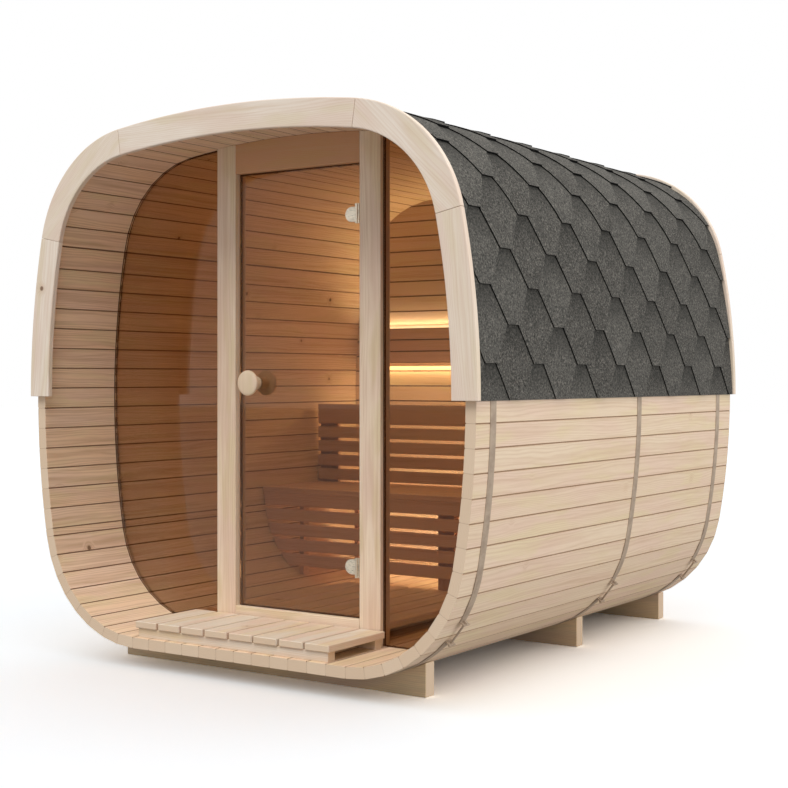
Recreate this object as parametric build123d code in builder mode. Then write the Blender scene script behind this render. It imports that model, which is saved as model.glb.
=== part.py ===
from build123d import *
from collections import namedtuple
from math import atan2, cos, degrees, hypot, radians, sin, sqrt
import os

os.makedirs("parts", exist_ok=True)

# An outdoor sauna: a shell of long staves bent to a rounded square, lying on three cradles,
# with an open porch in front of a glazed wall and door, and a bench across the rear.
# The frame has its origin on the ground under the middle, +X to the right, +Y to the rear.

# Section of the shell, outer face
shell_width = 2220
shell_height = 2171
waist_rise = 1037
side_radius = 3430
crown_radius = 4420
corner_radius = 520
stave_thickness = 45
shell_length = 2405
seat_gap = 0.3

# Cradles under the shell
ground_clearance = 80
cradle_reach = 226.3
cradle_thickness = 60
front_cradle_setback = 200
rear_cradle_inset = 18.5
cradle_pitch = 889

# Hoops round the lower half, each with two lugs at the lower right corner to draw it tight
strap_width = 40
strap_thickness = 2
strap_gap = 64
lug_height = 24
lug_thickness = 4
lug_spacing = 96
tensioner_turn = -38

# Roof covering and the fascia arches at both ends
roof_thickness = 8
fascia_thickness = 25
fascia_width = 110
fascia_overhang = 20

# Glazed front wall
porch_depth = 396
post_width = 103
post_depth = 69
doorway_width = 650
header_height = 137
threshold_height = 99
glass_thickness = 8
glass_setback = 22

# Glass door with its hinges and knobs
door_side_gap = 7
door_end_gap = 6
hinge_inset = 202
hinge_height = 80
hinge_plate_height = 61
hinge_plate_width = 47
hinge_plate_thickness = 5
hinge_plate_offset = 35
hinge_leaf_thickness = 3
hinge_leaf_depth = 30
knuckle_radius = 7
knuckle_offset = 12
knuckle_proud = 2
pin_radius = 3.5
pin_clearance = 0.05
knuckle_gap = 0.5
knob_radius = 54
knob_neck_radius = 26
knob_foot_radius = 28
knob_disc_thickness = 20
knob_neck_reach = 40
knob_length = 66
knob_chamfer = 5
knob_inset = 91
knob_height = 946

# Rear wall
rear_recess = 50
rear_wall_thickness = 45

# Slatted floors in the porch and in the room
rail_height = 38
rail_width = 45
rail_inset = 10
slat_thickness = 28
slat_gap = 10
deck_slat_width = 116
deck_right_margin = 60
deck_front_gap = 15
deck_back_gap = 4
floor_slat_width = 112
floor_left_margin = 52
floor_right_margin = 130
floor_front_gap = 8
floor_back_gap = 7

# Bench across the rear
bench_depth = 872.5
seat_height = 514
seat_board_thickness = 28
seat_board_width = 92
seat_board_gap = 8
seat_boards = 6
bench_end_gap = 4
skirt_thickness = 22
skirt_board_height = 64
skirt_slat_height = 58
skirt_slat_gap = 17
skirt_slats = 4
frame_depth = 45
frame_reach = 520
end_frame_width = 25
end_frame_inset = 274
middle_frame_width = 90
middle_frame_offset = 71

# Backrest above the bench
backrest_setback = 472.5
backrest_side_gap = 37
backrest_thickness = 22
backrest_lift = 12
backrest_slat_height = 59
backrest_slat_gap = 16
backrest_slats = 4
backrest_cap_height = 105
upright_thickness = 22
end_upright_width = 120
middle_upright_width = 60
upright_drop = 15

# Light board on the rear wall
light_board_side_gap = 125
light_board_height = 189
light_board_rise = 1154
light_board_thickness = 28
light_board_standoff = 34
spacer_width = 60
spacer_height = 80
spacer_pitch = 700
light_strip_inset = 30
light_strip_height = 20
light_strip_depth = 16
light_strip_rise = 15
light_strip_tuck = 5

# Levels and depths that follow from the sizes above
shell_bottom = ground_clearance
shell_top = shell_bottom + shell_height
waist = shell_bottom + waist_rise
room_floor = shell_bottom + stave_thickness
shell_front = -shell_length / 2
shell_back = shell_length / 2
wall_front = shell_front + porch_depth
wall_back = wall_front + post_depth
glass_front = wall_front + glass_setback
glass_back = glass_front + glass_thickness
rear_wall_back = shell_back - rear_recess
rear_wall_front = rear_wall_back - rear_wall_thickness
half_width = shell_width / 2
half_room = half_width - stave_thickness

# The section's arcs. Neighbours meet with a common tangent, so every offset of the section
# keeps the same centres. The upper corner's centre is as far inside the side circle and the
# crown circle as the radii differ; the lower corner stands on the flat floor line.
Bend = namedtuple("Bend", "x z radius start end")
side_x = half_width - side_radius
crown_z = shell_top - crown_radius
span = hypot(side_x, crown_z - waist)
to_side = side_radius - corner_radius
to_crown = crown_radius - corner_radius
along = (to_side**2 - to_crown**2 + span**2) / (2 * span)
across = sqrt(to_side**2 - along**2)
ahead = (-side_x / span, (crown_z - waist) / span)
upper_x = side_x + along * ahead[0] - across * ahead[1]
upper_z = waist + along * ahead[1] + across * ahead[0]
lower_z = shell_bottom + corner_radius
lower_x = side_x + sqrt(to_side**2 - (lower_z - waist) ** 2)
upper_turn = degrees(atan2(upper_z - waist, upper_x - side_x))
crown_turn = degrees(atan2(upper_z - crown_z, upper_x))
lower_turn = degrees(atan2(lower_z - waist, lower_x - side_x))
right_side = Bend(side_x, waist, side_radius, lower_turn, upper_turn)
right_upper = Bend(upper_x, upper_z, corner_radius, upper_turn, crown_turn)
crown = Bend(0, crown_z, crown_radius, crown_turn, 180 - crown_turn)
right_lower = Bend(lower_x, lower_z, corner_radius, -90, lower_turn)


def mirrored(bend):
    return Bend(-bend.x, bend.z, bend.radius, 180 - bend.end, 180 - bend.start)


def part_of(bend, start, end):
    return Bend(bend.x, bend.z, bend.radius, start, end)


left_side = mirrored(right_side)
left_upper = mirrored(right_upper)
left_lower = mirrored(right_lower)
right_leg = part_of(right_side, 0, upper_turn)
left_leg = mirrored(right_leg)
right_belly = part_of(right_side, lower_turn, 0)
left_belly = mirrored(right_belly)


def at(bend, offset, angle):
    reach = bend.radius + offset
    return (bend.x + reach * cos(radians(angle)), bend.z + reach * sin(radians(angle)))


def bands(chain, inner, outer, front, back):
    # Extrudes the band between two offsets of a chain of arcs that run on counter-clockwise
    with BuildSketch(Plane.XZ.offset(-back)) as profile:
        with BuildLine():
            for bend in chain:
                turn = bend.end - bend.start
                CenterArc((bend.x, bend.z), bend.radius + outer, bend.start, turn)
                CenterArc((bend.x, bend.z), bend.radius + inner, bend.start, turn)
            first = chain[0]
            last = chain[-1]
            Line(at(first, inner, first.start), at(first, outer, first.start))
            Line(at(last, inner, last.end), at(last, outer, last.end))
            for before, after in zip(chain, chain[1:]):
                if before.end != after.start:
                    Line(at(before, outer, before.end), at(after, outer, after.start))
                    Line(at(before, inner, before.end), at(after, inner, after.start))
        make_face()
    extrude(profile.sketch, amount=back - front)


def section(offset):
    # The whole section as a closed outline, at an offset from the shell's outer face
    ring = (right_lower, right_side, right_upper, crown, left_upper, left_side, left_lower)
    for bend in ring:
        CenterArc((bend.x, bend.z), bend.radius + offset, bend.start, bend.end - bend.start)
    Line(at(left_lower, offset, -90), at(right_lower, offset, -90))


def box_at(left, right, front, back, bottom, top):
    with Locations(((left + right) / 2, (front + back) / 2, (bottom + top) / 2)):
        Box(right - left, back - front, top - bottom)


def within(left, right, front, back, bottom, top, clearance):
    # A board or pane between two planes, its edges trimmed to the inside of the shell
    with BuildSketch(Plane.XZ.offset(-back)) as profile:
        with BuildLine():
            section(-stave_thickness - clearance)
        make_face()
        with Locations(((left + right) / 2, (bottom + top) / 2)):
            Rectangle(right - left, top - bottom, mode=Mode.INTERSECT)
    extrude(profile.sketch, amount=back - front)


def save(piece, label):
    piece.part.label = label
    export_step(piece.part, f"parts/{label}.step")


# Shell of staves, in segments that follow the arcs
shell_bends = {
    "shell_lower_right": right_lower,
    "shell_right_wall": right_side,
    "shell_upper_right": right_upper,
    "shell_ceiling": crown,
    "shell_upper_left": left_upper,
    "shell_left_wall": left_side,
    "shell_lower_left": left_lower,
}
for label, bend in shell_bends.items():
    with BuildPart() as segment:
        bands((bend,), -stave_thickness, 0, shell_front, shell_back)
    save(segment, label)

with BuildPart() as shell_floor:
    box_at(-lower_x, lower_x, shell_front, shell_back, shell_bottom, room_floor)
save(shell_floor, "shell_floor")

# Roof covering over the upper half, down to the waist on both sides
with BuildPart() as roof_covering:
    over = (right_leg, right_upper, crown, left_upper, left_leg)
    bands(over, 0, roof_thickness, shell_front, shell_back)
save(roof_covering, "roof_covering")

# Fascia arches: legs from the waist, curved corners and a crown piece, at both ends
fascia_inner = fascia_overhang - fascia_width
fascia_pieces = {
    "legs": (right_leg, left_leg),
    "corners": (right_upper, left_upper),
    "top": (crown,),
}
fascia_ends = {
    "front": (shell_front - fascia_thickness, shell_front),
    "rear": (shell_back, shell_back + fascia_thickness),
}
for end, (front, back) in fascia_ends.items():
    for piece, bends in fascia_pieces.items():
        with BuildPart() as fascia:
            for bend in bends:
                bands((bend,), fascia_inner, fascia_overhang, front, back)
        save(fascia, f"{end}_fascia_{piece}")

# Cradles, their tops cut to the shell's underside, each with a hoop just in front of it.
# A hoop's two ends turn out square as lugs, with a gap between them for a draw bolt.
rear_cradle_front = shell_back - rear_cradle_inset - cradle_thickness
cradle_fronts = {
    "front": shell_front + front_cradle_setback,
    "middle": rear_cradle_front - cradle_pitch,
    "rear": rear_cradle_front,
}
lug_turn = degrees(lug_spacing / corner_radius / 2)
lower_end = tensioner_turn - lug_turn
upper_end = tensioner_turn + lug_turn
hoop_ends = {
    lower_end: (left_belly, left_lower, part_of(right_lower, -90, lower_end)),
    upper_end: (part_of(right_lower, upper_end, lower_turn), right_belly),
}
for name, cradle_front in cradle_fronts.items():
    cradle_back = cradle_front + cradle_thickness
    with BuildPart() as cradle:
        with BuildSketch(Plane.XZ.offset(-cradle_back)):
            cradle_length = 2 * (lower_x + cradle_reach)
            Rectangle(cradle_length, corner_radius, align=(Align.CENTER, Align.MIN))
            with BuildLine():
                section(seat_gap)
            make_face(mode=Mode.SUBTRACT)
        extrude(amount=cradle_thickness)
    save(cradle, f"{name}_cradle")
    with BuildPart() as strap:
        strap_back = cradle_front - strap_gap
        for turn, run in hoop_ends.items():
            bands(run, 0, strap_thickness, strap_back - strap_width, strap_back)
            with BuildSketch(Plane.XZ.offset(-strap_back)) as lug:
                with Locations(Location((*at(right_lower, 0, turn), 0), (0, 0, turn))):
                    Rectangle(lug_height, lug_thickness, align=(Align.MIN, Align.CENTER))
            extrude(lug.sketch, amount=strap_width)
    save(strap, f"{name}_strap")

# Front wall: two posts, a header and a threshold between them, fixed glass at the sides
jamb = doorway_width / 2
post_outer = jamb + post_width
threshold_top = room_floor + threshold_height
doorway_top = shell_top - stave_thickness - header_height
for name, left, right in (("left", -post_outer, -jamb), ("right", jamb, post_outer)):
    with BuildPart() as post:
        within(left, right, wall_front, wall_back, 0, shell_top, seat_gap)
    save(post, f"{name}_post")

with BuildPart() as door_header:
    within(-jamb, jamb, wall_front, wall_back, doorway_top, shell_top, seat_gap)
save(door_header, "door_header")

with BuildPart() as door_threshold:
    box_at(-jamb, jamb, wall_front, wall_back, room_floor, threshold_top)
save(door_threshold, "door_threshold")

pane_edge = post_outer + seat_gap
for name, left, right in (
    ("left", -half_width, -pane_edge),
    ("right", pane_edge, half_width),
):
    with BuildPart() as pane:
        within(left, right, glass_front, glass_back, 0, shell_top, seat_gap)
    save(pane, f"{name}_glass")

# Door leaf of glass
leaf_edge = jamb - door_side_gap
leaf_bottom = threshold_top + door_end_gap
leaf_top = doorway_top - door_end_gap
with BuildPart() as door_glass:
    box_at(-leaf_edge, leaf_edge, glass_front, glass_back, leaf_bottom, leaf_top)
save(door_glass, "door_glass")

# Hinges: a barrel beside the right post's front edge, its outer thirds on a leaf that is
# screwed to the post, its middle third on a clamp with a round-ended plate each side of the
# glass. The pin belongs to the post's half.
barrel_x = jamb - knuckle_offset
barrel_y = wall_front - knuckle_proud
plate_edge = jamb - hinge_plate_offset
hinge_levels = (leaf_bottom + hinge_inset, leaf_top - hinge_inset)
third = hinge_height / 3


def knuckle(bottom, top, bore):
    with BuildSketch(Plane.XY.offset(bottom)) as ring:
        with Locations((barrel_x, barrel_y)):
            Circle(knuckle_radius)
            if bore:
                Circle(pin_radius + pin_clearance, mode=Mode.SUBTRACT)
    extrude(ring.sketch, amount=top - bottom)


with BuildPart() as post_hinges:
    leaf_x = jamb - hinge_leaf_thickness
    leaf_back = barrel_y + hinge_leaf_depth
    for level in hinge_levels:
        low = level - hinge_height / 2
        high = level + hinge_height / 2
        box_at(leaf_x, jamb, barrel_y, leaf_back, low, high)
        for bottom, top in ((low, low + third), (high - third, high)):
            knuckle(bottom, top, bore=False)
            box_at(barrel_x, jamb, barrel_y, barrel_y + hinge_plate_thickness, bottom, top)
        with BuildSketch(Plane.XY.offset(low)) as pin:
            with Locations((barrel_x, barrel_y)):
                Circle(pin_radius)
        extrude(pin.sketch, amount=hinge_height)
save(post_hinges, "post_hinges")


def clamp_plate(level, back):
    # A plate with one round end, lying against the glass
    with BuildSketch(Plane.XZ.offset(-back)) as plate:
        radius = hinge_plate_height / 2
        with Locations((plate_edge - hinge_plate_width + radius, level)):
            Circle(radius)
        with Locations((plate_edge, level)):
            Rectangle(
                hinge_plate_width - radius, hinge_plate_height, align=(Align.MAX, Align.CENTER)
            )
    extrude(plate.sketch, amount=hinge_plate_thickness)


with BuildPart() as door_hinges:
    for level in hinge_levels:
        low = level - third / 2 + knuckle_gap
        high = level + third / 2 - knuckle_gap
        knuckle(low, high, bore=True)
        arm_front = glass_front - hinge_plate_thickness
        box_at(plate_edge, leaf_edge, arm_front, glass_front, low, high)
        arm_left = barrel_x + pin_radius + pin_clearance
        box_at(arm_left, leaf_edge, barrel_y, arm_front, low, high)
        clamp_plate(level, glass_front)
        clamp_plate(level, glass_back + hinge_plate_thickness)
save(door_hinges, "door_hinges")

# Turned knobs, one each side of the glass: a tapered foot, a flared shoulder and a disc
knob_x = -leaf_edge + knob_inset
knob_z = leaf_bottom + knob_height
knob_front = glass_front - knob_length
rim_back = knob_front + knob_disc_thickness
with BuildPart() as outer_knob:
    with BuildSketch(Plane.YZ.offset(knob_x)):
        with BuildLine():
            Polyline(
                (glass_front, knob_z),
                (glass_front, knob_z + knob_foot_radius),
                (glass_front - knob_neck_reach, knob_z + knob_neck_radius),
                (rim_back, knob_z + knob_radius),
                (knob_front + knob_chamfer, knob_z + knob_radius),
                (knob_front, knob_z + knob_radius - knob_chamfer),
                (knob_front, knob_z),
                close=True,
            )
        make_face()
    revolve(axis=Axis((knob_x, 0, knob_z), (0, 1, 0)))
save(outer_knob, "outer_knob")

glass_middle = Plane.XZ.offset(-(glass_front + glass_back) / 2)
with BuildPart() as inner_knob:
    mirror(outer_knob.part, about=glass_middle)
save(inner_knob, "inner_knob")

# Rear wall
with BuildPart() as rear_wall:
    within(-half_width, half_width, rear_wall_front, rear_wall_back, 0, shell_top, seat_gap)
save(rear_wall, "rear_wall")


# Slatted floors on the flat of the shell: as many slats as fit its width, laid from the left
# and running front to rear on two cross rails
rail_top = room_floor + rail_height


def slat_lefts(left, right, width):
    count = int((right - left + slat_gap) // (width + slat_gap))
    return [left + number * (width + slat_gap) for number in range(count)]


def rails(lefts, width, front, back):
    rail_left = lefts[0] + rail_inset
    rail_right = lefts[-1] + width - rail_inset
    for y in (front + rail_inset, back - rail_inset - rail_width):
        box_at(rail_left, rail_right, y, y + rail_width, room_floor, rail_top)


def slats(lefts, width, front, back):
    for left in lefts:
        box_at(left, left + width, front, back, rail_top, rail_top + slat_thickness)


bench_front = rear_wall_front - bench_depth
frame_front = bench_front + skirt_thickness
deck_run = (shell_front + deck_front_gap, wall_front - deck_back_gap)
floor_run = (wall_back + floor_front_gap, frame_front - floor_back_gap)
deck_lefts = slat_lefts(-lower_x, lower_x - deck_right_margin, deck_slat_width)
floor_lefts = slat_lefts(
    floor_left_margin - lower_x, lower_x - floor_right_margin, floor_slat_width
)
with BuildPart() as deck_rails:
    rails(deck_lefts, deck_slat_width, *deck_run)
save(deck_rails, "deck_rails")
with BuildPart() as deck_boards:
    slats(deck_lefts, deck_slat_width, *deck_run)
save(deck_boards, "deck_boards")
with BuildPart() as floor_rails:
    rails(floor_lefts, floor_slat_width, *floor_run)
save(floor_rails, "floor_rails")
with BuildPart() as floor_boards:
    slats(floor_lefts, floor_slat_width, *floor_run)
save(floor_boards, "floor_boards")

# Bench: seat boards on three frames, with a slatted skirt in front
seat_top = room_floor + seat_height
seat_underside = seat_top - seat_board_thickness
with BuildPart() as bench_seat:
    for number in range(seat_boards):
        front = bench_front + number * (seat_board_width + seat_board_gap)
        back = front + seat_board_width
        within(-half_width, half_width, front, back, seat_underside, seat_top, bench_end_gap)
save(bench_seat, "bench_seat")

with BuildPart() as bench_skirt:
    top = seat_underside
    height = skirt_board_height
    for number in range(skirt_slats + 1):
        bottom = top - height
        within(-half_width, half_width, bench_front, frame_front, bottom, top, bench_end_gap)
        top = bottom - skirt_slat_gap
        height = skirt_slat_height
save(bench_skirt, "bench_skirt")

with BuildPart() as bench_frames:
    frame_back = frame_front + frame_reach
    end_frame_centre = half_room - end_frame_inset
    for centre, width in (
        (-end_frame_centre, end_frame_width),
        (middle_frame_offset, middle_frame_width),
        (end_frame_centre, end_frame_width),
    ):
        left = centre - width / 2
        right = centre + width / 2
        rail_bottom = seat_underside - frame_depth
        within(left, right, frame_front, frame_back, rail_bottom, seat_underside, seat_gap)
        for front in (frame_front, frame_back - frame_depth):
            within(left, right, front, front + frame_depth, 0, rail_bottom, seat_gap)
save(bench_frames, "bench_frames")

# Backrest: slats under a deeper top board, on uprights that stand on the seat
backrest_front = bench_front + backrest_setback
backrest_back = backrest_front + backrest_thickness
half_backrest = half_room - backrest_side_gap
slat_heights = [backrest_slat_height] * backrest_slats + [backrest_cap_height]
with BuildPart() as backrest_slat_set:
    bottom = seat_top + backrest_lift
    for height in slat_heights:
        backrest_top = bottom + height
        within(
            -half_backrest,
            half_backrest,
            backrest_front,
            backrest_back,
            bottom,
            backrest_top,
            bench_end_gap,
        )
        bottom = backrest_top + backrest_slat_gap
save(backrest_slat_set, "backrest_slats")

with BuildPart() as backrest_uprights:
    end_centre = half_backrest - end_upright_width / 2
    for centre, width in (
        (-end_centre, end_upright_width),
        (0, middle_upright_width),
        (end_centre, end_upright_width),
    ):
        box_at(
            centre - width / 2,
            centre + width / 2,
            backrest_back,
            backrest_back + upright_thickness,
            seat_top,
            backrest_top - upright_drop,
        )
save(backrest_uprights, "backrest_uprights")

# Light board on spacers, with a light strip above and one behind its lower edge
board_bottom = room_floor + light_board_rise
board_top = board_bottom + light_board_height
board_back = rear_wall_front - light_board_standoff
board_front = board_back - light_board_thickness
half_board = half_room - light_board_side_gap
with BuildPart() as light_board:
    box_at(-half_board, half_board, board_front, board_back, board_bottom, board_top)
    with Locations((0, (board_back + rear_wall_front) / 2, (board_bottom + board_top) / 2)):
        with GridLocations(spacer_pitch, 1, 3, 1):
            Box(spacer_width, light_board_standoff, spacer_height)
save(light_board, "light_board")

half_strip = half_board - light_strip_inset
strip_front = rear_wall_front - light_strip_depth
with BuildPart() as light_strips:
    for top in (
        board_top + light_strip_rise,
        board_bottom + light_strip_tuck + light_strip_height,
    ):
        bottom = top - light_strip_height
        box_at(-half_strip, half_strip, strip_front, rear_wall_front, bottom, top)
save(light_strips, "light_strips")
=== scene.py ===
import math

import bmesh
import bpy
import numpy as np
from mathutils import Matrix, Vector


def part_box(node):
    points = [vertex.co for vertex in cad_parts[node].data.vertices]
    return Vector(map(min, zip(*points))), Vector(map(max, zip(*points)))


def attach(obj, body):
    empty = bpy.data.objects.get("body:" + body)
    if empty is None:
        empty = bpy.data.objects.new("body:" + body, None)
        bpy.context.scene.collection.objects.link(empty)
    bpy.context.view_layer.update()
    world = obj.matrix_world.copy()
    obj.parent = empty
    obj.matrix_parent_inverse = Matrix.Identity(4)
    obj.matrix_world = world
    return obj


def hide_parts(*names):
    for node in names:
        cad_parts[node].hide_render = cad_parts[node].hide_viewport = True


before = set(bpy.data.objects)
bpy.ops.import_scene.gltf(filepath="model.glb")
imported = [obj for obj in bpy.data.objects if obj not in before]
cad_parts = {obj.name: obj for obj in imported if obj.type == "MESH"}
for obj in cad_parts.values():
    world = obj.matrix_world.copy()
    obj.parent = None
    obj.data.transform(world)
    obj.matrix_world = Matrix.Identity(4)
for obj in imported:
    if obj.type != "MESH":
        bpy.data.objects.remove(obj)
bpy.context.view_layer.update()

chance = np.random.default_rng(41)
print("stage: frame loaded")

# The shell's section: four large arcs and four corner arcs with common tangents, and a flat floor.
# Only the radii are given here; every level and width is read off the frame.
section = {"sideRadius": 3.43, "crownRadius": 4.42, "cornerRadius": 0.52}


def span(node):
    low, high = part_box(node)
    return np.array(low), np.array(high)


floorLow, floorHigh = span("shell_floor")
shellFront, shellBack = floorLow[1], floorHigh[1]
staveThickness = floorHigh[2] - floorLow[2]
roomFloor = floorHigh[2]
shellTop = span("shell_ceiling")[1][2]
waist = span("front_fascia_legs")[0][2]
sideX = span("shell_right_wall")[1][0] - section["sideRadius"]
crownZ = shellTop - section["crownRadius"]
cornerRadius = section["cornerRadius"]
toSide = section["sideRadius"] - cornerRadius
toCrown = section["crownRadius"] - cornerRadius
gapBetween = math.hypot(sideX, crownZ - waist)
alongIt = (toSide**2 - toCrown**2 + gapBetween**2) / (2 * gapBetween)
acrossIt = math.sqrt(toSide**2 - alongIt**2)
aheadX, aheadZ = -sideX / gapBetween, (crownZ - waist) / gapBetween
upperX = sideX + alongIt * aheadX - acrossIt * aheadZ
upperZ = waist + alongIt * aheadZ + acrossIt * aheadX
lowerZ = floorLow[2] + cornerRadius
lowerX = sideX + math.sqrt(toSide**2 - (lowerZ - waist) ** 2)
upperTurn = math.atan2(upperZ - waist, upperX - sideX)
crownTurn = math.atan2(upperZ - crownZ, upperX)
lowerTurn = math.atan2(lowerZ - waist, lowerX - sideX)

# Each stretch: centre x, centre z, radius, first angle, last angle, going round counter-clockwise
stretches = {
    "rightLower": (lowerX, lowerZ, cornerRadius, -math.pi / 2, lowerTurn),
    "rightSide": (sideX, waist, section["sideRadius"], lowerTurn, upperTurn),
    "rightUpper": (upperX, upperZ, cornerRadius, upperTurn, crownTurn),
    "crown": (0.0, crownZ, section["crownRadius"], crownTurn, math.pi - crownTurn),
    "leftUpper": (-upperX, upperZ, cornerRadius, math.pi - crownTurn, math.pi - upperTurn),
    "leftSide": (-sideX, waist, section["sideRadius"], math.pi - upperTurn, math.pi - lowerTurn),
    "leftLower": (-lowerX, lowerZ, cornerRadius, math.pi - lowerTurn, 1.5 * math.pi),
}


def arcPoint(stretch, share, offset):
    # Centre plus radius and offset along an angle that runs from the first to the last
    x, z, radius, first, last = stretches[stretch]
    angle = first + (last - first) * share
    return np.stack([x + (radius + offset) * np.cos(angle), z + (radius + offset) * np.sin(angle)], -1)


def floorPoint(share, offset):
    # Straight along the flat floor from left to right, the offset going down
    x = -lowerX + 2 * lowerX * share
    return np.stack([x, np.full_like(x, floorLow[2]) - offset], -1)


def halfRoom(z, offset):
    # Half the width at a height: the circle of the stretch that this height falls in, solved for x
    corner, side, crown = (section[name] + offset for name in ("cornerRadius", "sideRadius", "crownRadius"))
    z = np.asarray(z, dtype=float)
    low = lowerX + np.sqrt(np.clip(corner**2 - (z - lowerZ) ** 2, 0, None))
    mid = sideX + np.sqrt(np.clip(side**2 - (z - waist) ** 2, 0, None))
    high = upperX + np.sqrt(np.clip(corner**2 - (z - upperZ) ** 2, 0, None))
    top = np.sqrt(np.clip(crown**2 - (z - crownZ) ** 2, 0, None))
    levels = [
        z < lowerZ + corner * math.sin(lowerTurn),
        z < upperZ + corner * math.sin(upperTurn),
        z < crownZ + crown * math.sin(crownTurn),
    ]
    return np.select(levels, [low, mid, high], top)


def ceilingAt(x, offset):
    # Height of the crown's circle at a distance from the middle
    return crownZ + np.sqrt((section["crownRadius"] + offset) ** 2 - np.asarray(x) ** 2)


# Meshes of boards: rings of points carried along a path, closed at both ends
xAxis, yAxis, zAxis = np.eye(3)


def roundedSection(width, height, radius, steps=2, rows=1):
    # A rectangle's outline whose corners are quarter circles, its two tall sides cut into rows
    corners = []
    for turn, (signA, signB) in enumerate([(1, 1), (-1, 1), (-1, -1), (1, -1)]):
        angle = np.linspace(0, math.pi / 2, steps + 1) + turn * math.pi / 2
        centre = np.array([signA * (width / 2 - radius), signB * (height / 2 - radius)])
        corners.append(centre + radius * np.stack([np.cos(angle), np.sin(angle)], -1))
    if rows > 1:
        inner = np.linspace(1, -1, rows + 1)[1:-1] * (height / 2 - radius)
        leftSide = np.stack([np.full(rows - 1, -width / 2), inner], -1)
        rightSide = np.stack([np.full(rows - 1, width / 2), -inner], -1)
        return np.concatenate([corners[0], corners[1], leftSide, corners[2], corners[3], rightSide])
    return np.concatenate(corners)


def straightBoards(outline, starts, ends, across, thick, taper):
    # Point = start + share of the way to the end + across times a + thick times b, and the first
    # and last rings are drawn in by the taper so that the ends have a small bevel
    starts, ends = np.atleast_2d(starts).astype(float), np.atleast_2d(ends).astype(float)
    outline = np.broadcast_to(outline, (len(starts), *np.shape(outline)[-2:]))
    run = ends - starts
    length = np.linalg.norm(run, axis=1)
    size = np.ptp(outline, axis=1)
    share = np.stack([0 * length, taper / length, 1 - taper / length, 0 * length + 1], 1)
    drawn = 1 - 2 * taper / size
    scale = np.stack([drawn, np.ones_like(drawn), np.ones_like(drawn), drawn], 1)
    local = outline[:, None] * scale[:, :, None]
    across = np.broadcast_to(across, starts.shape)[:, None, None]
    thick = np.broadcast_to(thick, starts.shape)[:, None, None]
    path = starts[:, None] + share[:, :, None] * run[:, None]
    rings = path[:, :, None] + local[..., :1] * across + local[..., 1:] * thick
    return {"rings": rings, "outline": outline}


def uprightBoard(x, y, bottom, top, width, depth, rounding=0.002, taper=0.001):
    outline = roundedSection(width, depth, rounding)
    return straightBoards(outline, [x, y, bottom], [x, y, top], xAxis, yAxis, taper)


def lengthwiseBoard(x, front, back, z, width, height, rounding=0.002, taper=0.001):
    outline = roundedSection(width, height, rounding)
    return straightBoards(outline, [x, front, z], [x, back, z], xAxis, zAxis, taper)


def circleOf(points):
    angle = np.linspace(0, 2 * math.pi, points, endpoint=False)
    return np.stack([np.cos(angle), np.sin(angle)], -1)


def quadsOf(values):
    # The four corners of each quad between neighbouring rings, for point numbers or map places
    ahead = np.roll(values, -1, 2)
    return np.stack([values[:, :-1], ahead[:, :-1], ahead[:, 1:], values[:, 1:]], 3)


edgeShift = 0.2        # metres across the grain from a board's face to its edges on the map


def boardMesh(name, groups, materials, slot, body="sauna", nodes=(), sharpAngle=20):
    # Each group holds rings (boards, stations, points, 3). Quads join neighbouring rings, one face
    # closes each end, and the map has metres along the grain and across it.
    vertices, faces, maps, seeds, kinds, joints, offset = [], [], [], [], [], [], 0
    for group in groups:
        rings, outline = group["rings"], group["outline"]
        boards, stations, points, _ = rings.shape
        index = offset + np.arange(boards * stations * points).reshape(boards, stations, points)
        quads = quadsOf(index)
        if "grain" in group:
            corners = quadsOf(group["grain"])
        else:
            run = np.linalg.norm(np.diff(rings.mean(2), axis=1), axis=2)
            along = np.concatenate([np.zeros((boards, 1)), np.cumsum(run, 1)], 1)
            nextPoint = np.roll(outline, -1, 1)
            stepA, stepB = np.moveaxis(np.abs(nextPoint - outline), -1, 0)
            here, there = (np.where(stepA >= stepB, point[..., 0], point[..., 1] + edgeShift)
                           for point in (outline, nextPoint))
            alongHere, alongNext, here, there = (
                np.broadcast_to(values, quads.shape[:3])
                for values in (along[:, :-1, None], along[:, 1:, None], here[:, None], there[:, None])
            )
            corners = np.stack([
                np.stack([alongHere, alongHere, alongNext, alongNext], -1),
                np.stack([here, there, there, here], -1),
            ], -1)
        faces += quads.reshape(-1, 4).tolist() + index[:, 0, ::-1].tolist() + index[:, -1].tolist()
        maps += [corners.reshape(-1, 2), outline[:, ::-1].reshape(-1, 2), outline.reshape(-1, 2)]
        perBoard = (stations - 1) * points
        seed = chance.random(boards) if "seed" not in group else group["seed"]
        seeds += [np.repeat(seed, perBoard), seed, seed]
        kind = np.broadcast_to(group.get("edgeKinds", 0), quads.shape[:3])
        joint = np.broadcast_to(group.get("edgeJoints", 0), quads.shape[:3])
        kinds += [kind.ravel(), np.ones(2 * boards)]
        joints += [joint.ravel(), np.full(2 * boards, group.get("capJoint", 0))]
        vertices.append(rings.reshape(-1, 3))
        offset += boards * stations * points
    mesh = bpy.data.meshes.new(name)
    mesh.from_pydata(np.concatenate(vertices).tolist(), [], faces)
    layer = mesh.uv_layers.new(name="grain")
    layer.data.foreach_set("uv", np.concatenate(maps).ravel())
    for attribute, values in (("board", seeds), ("joint", joints)):
        mesh.attributes.new(attribute, "FLOAT", "FACE").data.foreach_set("value", np.concatenate(values))
    mesh.polygons.foreach_set("material_index", np.concatenate(kinds).astype(np.int32))
    for material in materials:
        mesh.materials.append(material)
    return finished(name, mesh, slot, body, nodes, sharpAngle)


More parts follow.
